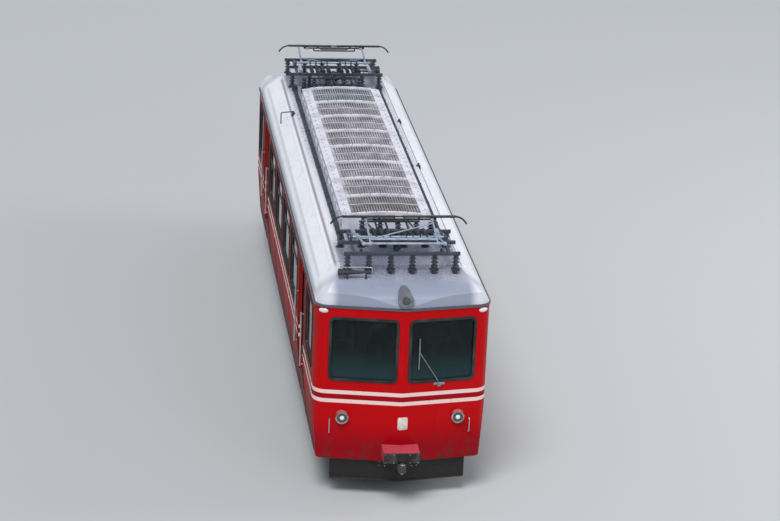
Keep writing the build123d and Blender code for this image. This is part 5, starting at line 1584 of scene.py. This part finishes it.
sill_bolts = [(BOGIE_X + side * dx, SILL_Y + SILL_W / 2 - 0.001, z) for dx in (0.22, 0.30, 0.70, 0.78, 1.40)
              for side in (-1, 1) for z in (SILL_Z0 + 0.022, SILL_Z1 - 0.022)]
fittings = [piece for x in AXLE_XS for piece in axlebox_cover(x) + guide_tie(x)] + brake_rod()
fittings += [sand_pipe(), bolts(sill_bolts, (0, 1, 0), 0.011, 0.009)]
dress_each("bogie_fittings", repeated(joined(fittings), TO_OTHER_SIDE), CHASSIS_BLACK,
           "bogie_{}")

# %% [markdown]
# Under the floor hang the electrical cases. Their doors have hinges and turn-catches, the middle one has
# cooling ribs below, and two air pipes run along the beam from bracket to bracket. The air tanks hang in
# steel bands with a drain.

# %% Underfloor
CASES = ((-1.330, 1.100, 1.120, 0.380), (0.0, 1.300, 1.140, 0.340), (1.330, 1.100, 1.120, 0.400))
FLOOR_BOTTOM = 0.860
TANK_X, TANK_Z, TANK_R = 0.900, 0.660, 0.130


def case_door(x, length, face_y, z0):
    half, low, top = length / 2 - 0.06, z0 + 0.050, SKIRT_Z - 0.030
    pieces = [ring((x, face_y, (low + top) / 2), (0, 1, 0), 2 * half, top - low, 0.012, 0.030, 0.010),
              block((x - half + 0.026, face_y - 0.004, low + 0.026),
                    (x + half - 0.026, face_y + 0.004, top - 0.026), 0.002)]
    for side in (-1, 1):
        hinge_x, catch_x = x + side * half * 0.72, x + side * half * 0.45
        pieces.append(pipe([(hinge_x + dx, face_y + 0.010, low - 0.006) for dx in (-0.045, 0.045)], 0.009))
        pieces.append(block((catch_x - 0.010, face_y + 0.006, top - 0.045),
                            (catch_x + 0.010, face_y + 0.020, top + 0.004), 0.004))
    return pieces


def case_ribs():
    """Cooling ribs under the middle case: one is made and copied along it."""
    _, length, far, z0 = CASES[1]
    last = 13
    rib = block((-0.006, 0.46, z0 - 0.022), (0.006, far - 0.06, z0 + 0.004), 0.003)
    return placed(rib, [((length - 0.20) * (i / last - 0.5), 0, 0) for i in range(last + 1)])


def air_pipes():
    bracket = block((-0.012, 0.262, 0.716), (0.012, 0.352, FLOOR_BOTTOM + 0.002), 0.003)
    return [pipe([(-2.60, 0.335, 0.780), (2.60, 0.335, 0.780)], 0.014),
            pipe([(-2.60, 0.300, 0.730), (2.60, 0.300, 0.730)], 0.010),
            placed(bracket, [(x, 0, 0) for x in (-2.4, -1.9, -0.66, 0.66, 1.9, 2.4)])]


def tank_bands():
    """Bands round the tank at +X, and its drain cock."""
    low = TANK_Z - TANK_R
    pieces = [turned((x, 0, TANK_Z), (1, 0, 0), [(-0.03, TANK_R - 0.002), (-0.03, TANK_R + 0.004),
                                                 (0.03, TANK_R + 0.004), (0.03, TANK_R - 0.002)], 40)
              for x in (TANK_X - 0.40, TANK_X + 0.40)]
    return pieces + [pipe([(TANK_X, 0, low + 0.004), (TANK_X, 0, low - 0.045)], 0.012),
                     pipe([(TANK_X, 0, low - 0.032), (TANK_X, 0.050, low - 0.032)], 0.005)]


doors = [piece for x, length, far, z0 in CASES for piece in case_door(x, length, far, z0)]
dress("underfloor_fittings", doors + [case_ribs(), *air_pipes()], CHASSIS_BLACK,
      TO_OTHER_SIDE)
dress("tank_bands", tank_bands(), SPRING_STEEL, TO_OTHER_END)

# %% [markdown]
# Round the pantographs the roof is crowded. Each insulator has an iron cap and a bolted foot. The raising
# springs are coils drawn out along the car, with an eye at each end: one is screwed up, laid down and copied.
# Below the frame hangs the air cylinder that lifts the arms. Rubber stops wait for the folded arms on the
# frame's front half.

# %% Pantograph frames
INSULATOR_YS, INSULATOR_TOP, ROW = (0.160, 0.490, 0.810), 3.640, 0.510
BASE_TOP, PIVOT_Z = 3.688, 3.750
RAISING_YS, RAISING_Z, BALANCE_Y = (0.120, 0.225, 0.330, 0.435), 3.700, 0.640
ROW_XS = (PANTOGRAPH_X - ROW, PANTOGRAPH_X + ROW)


def insulator_irons():
    """The cap under the frame and the foot on the roof with four bolts, for a post at the origin."""
    cap = turned((0, 0, INSULATOR_TOP), (0, 0, -1), [(0.0, 0.0), (0.0, 0.042), (0.012, 0.044), (0.020, 0.033),
                                                     (0.020, 0.0)], 20)
    foot = turned((0, 0, CROWN_Z + 0.001), (0, 0, 1),
                  [(-0.012, 0.0), (-0.012, 0.066), (0.008, 0.066), (0.014, 0.040), (0.026, 0.036),
                   (0.026, 0.0)], 20)
    places = [(dx, dy, CROWN_Z + 0.009) for dx in (-0.037, 0.037) for dy in (-0.037, 0.037)]
    return joined([cap, foot, bolts(places, (0, 0, 1), 0.007, 0.008)])


def raising_springs(ys):
    """Tension coils along X from the rear row to the pivot, an eye at each end: one is made and copied."""
    length, x0 = 0.385, ROW_XS[0] + 0.040
    spring = placed(coil((0, 0), 0.030, 0.0055, 0.0, length, 20, 10), [(x0, 0, RAISING_Z)],
                    Matrix.Rotation(math.pi / 2, 4, "Y"))
    choose()
    bpy.ops.mesh.primitive_torus_add(rotation=(math.pi / 2, 0, 0), major_segments=16, minor_segments=8,
                                     major_radius=0.020, minor_radius=0.005)
    eyes = placed(settled(), [(x, 0, RAISING_Z) for x in (x0 - 0.014, x0 + length + 0.014)])
    return placed(joined([spring, eyes]), [(0, y, 0) for y in ys])


def air_cylinder():
    """The lifting cylinder below the frame, its end caps, tie rods, hangers and arms."""
    x0, x1, z, radius = PANTOGRAPH_X - 0.400, PANTOGRAPH_X - 0.080, 3.555, 0.062
    length = x1 - x0
    outline = [(0.0, 0.0), (0.0, radius), (0.016, radius), (0.016, radius - 0.008),
               (length - 0.016, radius - 0.008), (length - 0.016, radius), (length, radius), (length, 0.020),
               (length + 0.050, 0.020), (length + 0.050, 0.0)]
    pieces = [turned((x0, 0, z), (1, 0, 0), outline, 28)]
    for angle in [math.radians(45 + 90 * i) for i in range(4)]:
        y, up = 0.050 * math.cos(angle), 0.050 * math.sin(angle)
        pieces.append(pipe([(x0 - 0.006, y, z + up), (x1 + 0.006, y, z + up)], 0.005))
    for y in (-0.070, 0.070):
        pieces.append(block((x0 + 0.022, y - 0.006, z - 0.03), (x0 + 0.038, y + 0.006, INSULATOR_TOP + 0.002),
                            0.002))
        pieces.append(pipe([(x, y, INSULATOR_TOP + 0.010) for x in (x0 + 0.03, ROW_XS[0] + 0.020)], 0.010))
    return pieces


def stops():
    """Rubber blocks on the front beam's supports for the lower arm's tubes."""
    pieces = []
    for y in (-0.600, 0.600):
        pieces.append(block((ROW_XS[1] - 0.110, y - 0.020, BASE_TOP - 0.030),
                            (ROW_XS[1], y + 0.020, BASE_TOP - 0.002), 0.003))
        pieces.append(turned((ROW_XS[1] - 0.080, y, BASE_TOP - 0.004), (0, 0, 1),
                             [(0.0, 0.0), (0.0, 0.020), (0.024, 0.016), (0.030, 0.010), (0.030, 0.0)], 16))
    return pieces


def frame_bolts():
    return bolts([(x, y, BASE_TOP - 0.001) for x in ROW_XS
                  for y in (-0.84, -0.68, -0.52, -0.2, 0.2, 0.52, 0.68, 0.84)], (0, 0, 1), 0.010, 0.009)


irons = placed(insulator_irons(), [(x, side * y, 0) for x in ROW_XS for y in INSULATOR_YS
                                   for side in (1, -1)])
dress("insulator_irons", irons, FITTING_DARK, TO_OTHER_END)
dress("raising_springs", raising_springs(RAISING_YS), PANTOGRAPH_DARK, TO_ALL_CORNERS)
dress("balance_springs", raising_springs((BALANCE_Y,)), PANTOGRAPH_TUBE, TO_ALL_CORNERS)
dress("air_cylinders", air_cylinder(), PANTOGRAPH_BASE, TO_OTHER_END)
dress("pantograph_stops", stops() + [frame_bolts()], PANTOGRAPH_DARK, TO_OTHER_END)

# %% [markdown]
# The arms' own small parts move with them: a V of thin tubes that stiffens the lower arm, clamps at its root
# and at the knee, cams on the shaft where the springs pull, and the head's tube frame, spring boxes, strip
# bolts and worn steel faces. Each is made on the front pantograph and half-turned to the rear one.

# %% Pantograph arms and heads
ARM, ARM_ANGLE = 0.720, math.radians(11.2)
ARM_RUN, ARM_RISE = ARM * math.cos(ARM_ANGLE), ARM * math.sin(ARM_ANGLE)
KNEE_X, KNEE_Z = PANTOGRAPH_X + ARM_RUN, PIVOT_Z + ARM_RISE
HEAD_Z = PIVOT_Z + 2 * ARM_RISE
STRIP_Z, STRIP_T = HEAD_Z + 0.030, 0.026


def lower_stays():
    """Thin stays in a V from the pivot shaft to the cross tie, and clamps at each tube's root and knee."""
    tie_x, tie_z = PANTOGRAPH_X + ARM_RUN * 0.25, PIVOT_Z + ARM_RISE * 0.25
    pieces = []
    for side in (-1, 1):
        for near, far in ((0.03, 0.57), (0.57, 0.30)):
            pieces.append(pipe([(PANTOGRAPH_X, side * near, PIVOT_Z), (tie_x, side * far, tie_z)], 0.008))
        y = side * 0.600
        pieces.append(block((PANTOGRAPH_X - 0.030, y - 0.032, PIVOT_Z - 0.026),
                            (PANTOGRAPH_X + 0.036, y + 0.032, PIVOT_Z + 0.026), 0.006))
        pieces.append(block((KNEE_X - 0.030, y - 0.024, KNEE_Z - 0.024),
                            (KNEE_X + 0.024, y + 0.024, KNEE_Z + 0.022), 0.006))
    return joined(pieces)


def spring_cams():
    """A flanged cam on the pivot shaft for each raising spring."""
    cam = turned((PANTOGRAPH_X, 0, PIVOT_Z), (0, 1, 0),
                 [(-0.009, 0.0), (-0.009, 0.040), (-0.004, 0.040), (-0.003, 0.030), (0.003, 0.030),
                  (0.004, 0.040), (0.009, 0.040), (0.009, 0.0)])
    return placed(cam, [(0, side * y, 0) for y in RAISING_YS for side in (-1, 1)])


def head_frame(half_w, back, drop, radius):
    """A tube bent in a U behind the head's shaft, which keeps the strips level."""
    near, far, low = PANTOGRAPH_X, PANTOGRAPH_X - back, HEAD_Z - drop
    return pipe([(near, -half_w, HEAD_Z), (far, -half_w, low), (far, half_w, low), (near, half_w, HEAD_Z)],
                radius, 0.02)


def head_details():
    """The tube frame, spring boxes on the outer posts and bolts along both sides of the strips."""
    pieces = [head_frame(0.383, 0.080, 0.030, 0.012), head_frame(0.250, 0.052, 0.012, 0.009)]
    for y in (-0.548, -0.300, 0.300, 0.548):
        pieces.append(block((PANTOGRAPH_X - 0.022, y - 0.016, HEAD_Z + 0.006),
                            (PANTOGRAPH_X + 0.022, y + 0.016, STRIP_Z + 0.001), 0.004))
    for face in (-1, 1):
        places = [(PANTOGRAPH_X + face * 0.028, side * (0.12 + 0.17 * i), STRIP_Z + STRIP_T / 2)
                  for side in (-1, 1) for i in range(5)]
        pieces.append(bolts(places, (face, 0, 0), 0.007, 0.006))
    return joined(pieces)


def strip_faces():
    """The polished wearing faces on top of the strips."""
    z = STRIP_Z + STRIP_T
    half = block((PANTOGRAPH_X - 0.020, 0.07, z - 0.003), (PANTOGRAPH_X + 0.020, 0.83, z + 0.0015), 0.001)
    return repeated(half, TO_OTHER_SIDE)


dress_each("lower_stays", lower_stays(), PANTOGRAPH_TUBE, "pantograph_lower_{}")
dress_each("spring_cams", spring_cams(), PANTOGRAPH_DARK, "pantograph_lower_{}")
dress_each("head_details", head_details(), PANTOGRAPH_DARK, "pantograph_head_{}")
dress_each("strip_faces", strip_faces(), WORN_STEEL, "pantograph_head_{}")

# %% [markdown]
# Between each pantograph and the hood stand the roof's high-voltage parts: an isolating switch, whose blades
# lie between two bars on rows of ribbed posts, the drive box under it, and a surge arrester beside it. A pale
# air pipe runs behind the horn, and small brackets sit on the shoulders. One post is spun and copied to all
# the others' places.

# %% Roof apparatus
SWITCH_XS, SWITCH_YS, SWITCH_UP = (3.930, 4.330), (-0.420, -0.140, 0.140, 0.420), 0.200
SWITCH_X, BLADE_YS = sum(SWITCH_XS) / 2, (-0.240, -0.080, 0.080, 0.240)
ARRESTER_X, ARRESTER_Y, ARRESTER_UP = 4.150, 0.620, 0.240
HORN_PIPE_X, HORN_PIPE_Z = 5.560, 3.462
BRACKET_PLACES = ((-2.75, -0.925, -0.22), (-2.30, 0.925), (0.35, 0.925))


def ribbed_post(height, radius, sheds, places):
    """Porcelain posts: a stem and its sheds in one spun outline, copied to each place."""
    outline = [(-0.010, 0.0), (-0.010, radius)]
    for shed in range(sheds):
        z = 0.014 + shed * (height - 0.02) / sheds
        outline += [(z, radius), (z + 0.006, radius + 0.022), (z + 0.014, radius + 0.022),
                    (z + 0.024, radius)]
    return placed(turned((0, 0, CROWN_Z), (0, 0, 1), outline + [(height, radius), (height, 0.0)]), places)


def switch_irons():
    """Bars on the posts, blades between them, the drive box with its shaft, and a bar to the frame."""
    bar_z, shaft_z, (x0, x1) = CROWN_Z + SWITCH_UP + 0.012, CROWN_Z + SWITCH_UP + 0.090, SWITCH_XS
    blade = joined([block((x0 - 0.035, -0.011, bar_z + 0.012), (x1 + 0.035, 0.011, bar_z + 0.052), 0.003),
                    pipe([(SWITCH_X, 0, bar_z + 0.040), (SWITCH_X, 0, shaft_z)], 0.007)])
    bars = [pipe([(x, -0.470, bar_z), (x, 0.470, bar_z)], 0.017) for x in SWITCH_XS]
    box = block((SWITCH_X - 0.105, -0.260, CROWN_Z - 0.010), (SWITCH_X + 0.105, 0.260, CROWN_Z + 0.110))
    lid = block((SWITCH_X - 0.115, -0.270, CROWN_Z + 0.106), (SWITCH_X + 0.115, 0.270, CROWN_Z + 0.122))
    return [*bars, placed(blade, [(0, y, 0) for y in BLADE_YS]),
            pipe([(SWITCH_X, -0.270, shaft_z), (SWITCH_X, 0.270, shaft_z)], 0.012), box, lid,
            pipe([(x1, 0, bar_z), (ROW_XS[0] - 0.018, 0, INSULATOR_TOP + 0.024)], 0.012)]


def arrester_irons():
    """The arrester's cap and the tail that joins it to the frame."""
    x, y, top = ARRESTER_X, ARRESTER_Y, CROWN_Z + ARRESTER_UP
    cap = turned((x, y, top), (0, 0, 1), [(-0.004, 0.0), (-0.004, 0.046), (0.020, 0.046), (0.030, 0.020),
                                          (0.030, 0.0)], 20)
    return [cap, pipe([(x, y, top + 0.022), (x + 0.12, y, top + 0.034),
                       (ROW_XS[0] - 0.020, y, INSULATOR_TOP + 0.024)], 0.007, 0.04)]


def horn_pipe():
    """The air pipe on two feet behind the horn."""
    x, top = HORN_PIPE_X, HORN_PIPE_Z
    feet = [pipe([(x, y, 3.300), (x, y, top)], 0.008) for y in (-0.640, -0.820)]
    return [pipe([(x, -0.440, 3.320), (x, -0.440, top), (x, -0.860, top)], 0.014, 0.03), *feet]


def shoulder_bracket(x, y, arm=0.0):
    """A small folded bracket with a stub, welded where the crown ends; one has an arm that reaches out."""
    z = CROWN_Z - 0.02
    pieces = [block((x - 0.055, y - 0.035, z - 0.06), (x + 0.055, y + 0.035, z + 0.020), 0.006),
              pipe([(x, y, z), (x, y, z + 0.060)], 0.016)]
    if arm:
        pieces.append(pipe([(x, y, z + 0.050), (x, y + arm, z + 0.030), (x, y + arm, z - 0.190)], 0.010,
                           0.02))
    return pieces


posts = [ribbed_post(SWITCH_UP, 0.030, 4, [(x, y, 0) for x in SWITCH_XS for y in SWITCH_YS]),
         ribbed_post(ARRESTER_UP, 0.038, 5, [(ARRESTER_X, ARRESTER_Y, 0)])]
dress("apparatus_posts", posts, PORCELAIN, TO_OTHER_END)
dress("switch_irons", switch_irons() + arrester_irons(), FITTING_DARK, TO_OTHER_END)
dress("horn_pipes", horn_pipe(), HANDRAIL_STEEL, TO_OTHER_END)
brackets = [piece for place in BRACKET_PLACES for piece in shoulder_bracket(*place)]
dress("roof_brackets", brackets, FITTING_DARK)

# %% [markdown]
# Through the glass one sees into the saloon. It has grab poles on the seat backs, tube racks over the windows
# and two rows of ceiling lights. They are simple pipes and blocks, because tinted glass and shade hide the
# rest.

# %% Saloon
SEAT_XS, AISLE_Y, SEAT_TOP, CEILING_Z = (-1.550, 0.0, 1.550), 0.250, 1.930, 3.366


def rack():
    """Three tubes along the saloon at +Y on brackets between the windows."""
    tubes = [pipe([(-3.05, y, z), (3.05, y, z)], 0.010)
             for y, z in ((0.960, 2.965), (1.050, 2.935), (1.140, 2.935))]
    bracket = pipe([(0, 1.262, 2.905), (0, 1.140, 2.922), (0, 0.960, 2.945)], 0.009)
    return tubes + [placed(bracket, [(x, 0, 0) for x in (-3.0, -1.55, 0.0, 1.55, 3.0)])]


pole = pipe([(0, AISLE_Y + 0.060, SEAT_TOP - 0.03), (0, AISLE_Y + 0.060, CEILING_Z + 0.002)], 0.016)
poles = placed(pole, [(x, 0, 0) for x in SEAT_XS])
dress("saloon_rails", [poles, *rack()], HANDRAIL_STEEL, TO_OTHER_SIDE)
ceiling_light = block((-0.55, 0.39, CEILING_Z - 0.045), (0.55, 0.51, CEILING_Z + 0.002), 0.012)
dress("ceiling_lights", placed(ceiling_light, [(x, 0, 0) for x in (-2.4, -0.8, 0.8, 2.4)]), MARKER_WHITE,
      TO_OTHER_SIDE)

# %% [markdown]
# The driver's desk at each end is seen through the windscreens. Its instrument box is a block whose top edge
# is pushed away from the driver, and the dials, the controller's drum and the brake valve are spun from their
# outlines.

# %% Driver's desks
DESK_X, DESK_Z = 5.560, 1.660


def instrument_box():
    """A sloping box on the desk: a block whose top edge towards the driver is pushed forward."""
    piece = block((DESK_X + 0.150, 0.18, DESK_Z - 0.004), (DESK_X + 0.340, 0.90, DESK_Z + 0.150), 0.006)
    for corner in piece.data.vertices:
        if corner.co.z > DESK_Z + 0.07 and corner.co.x < DESK_X + 0.245:
            corner.co.x += 0.075
    return piece


def dial(y):
    """A round instrument on the box's sloping face."""
    outline = [(-0.004, 0.0), (-0.004, 0.048), (0.008, 0.048), (0.010, 0.042), (0.006, 0.040), (0.006, 0.0)]
    return turned((DESK_X + 0.1875, y, DESK_Z + 0.073), (-1, 0, 0.487), outline, 28)


def controls():
    """The controller's drum and crank, and the brake valve with its handle."""
    x = DESK_X + 0.085
    drum = turned((x, 0.34, DESK_Z - 0.012), (0, 0, 1),
                  [(0.0, 0.0), (0.0, 0.062), (0.030, 0.062), (0.036, 0.054), (0.036, 0.014), (0.058, 0.014),
                   (0.058, 0.0)], 28)
    crank = pipe([(x, 0.34, DESK_Z + 0.040), (x - 0.09, 0.40, DESK_Z + 0.040),
                  (x - 0.09, 0.40, DESK_Z + 0.095)], 0.009, 0.01)
    valve = turned((x, 0.78, DESK_Z - 0.012), (0, 0, 1),
                   [(0.0, 0.0), (0.0, 0.030), (0.050, 0.026), (0.060, 0.012), (0.072, 0.012), (0.072, 0.0)],
                   20)
    return [drum, crank, valve, pipe([(x, 0.78, DESK_Z + 0.052), (x - 0.12, 0.74, DESK_Z + 0.060)], 0.008)]


dress("instrument_boxes", instrument_box(), DESK_PAINT, TO_OTHER_END)
dials = [dial(y) for y in (0.30, 0.42, 0.54, 0.66, 0.78)]
dress("desk_dials", dials, PLATED_METAL, TO_OTHER_END)
dress("desk_controls", controls(), WORN_STEEL, TO_OTHER_END)
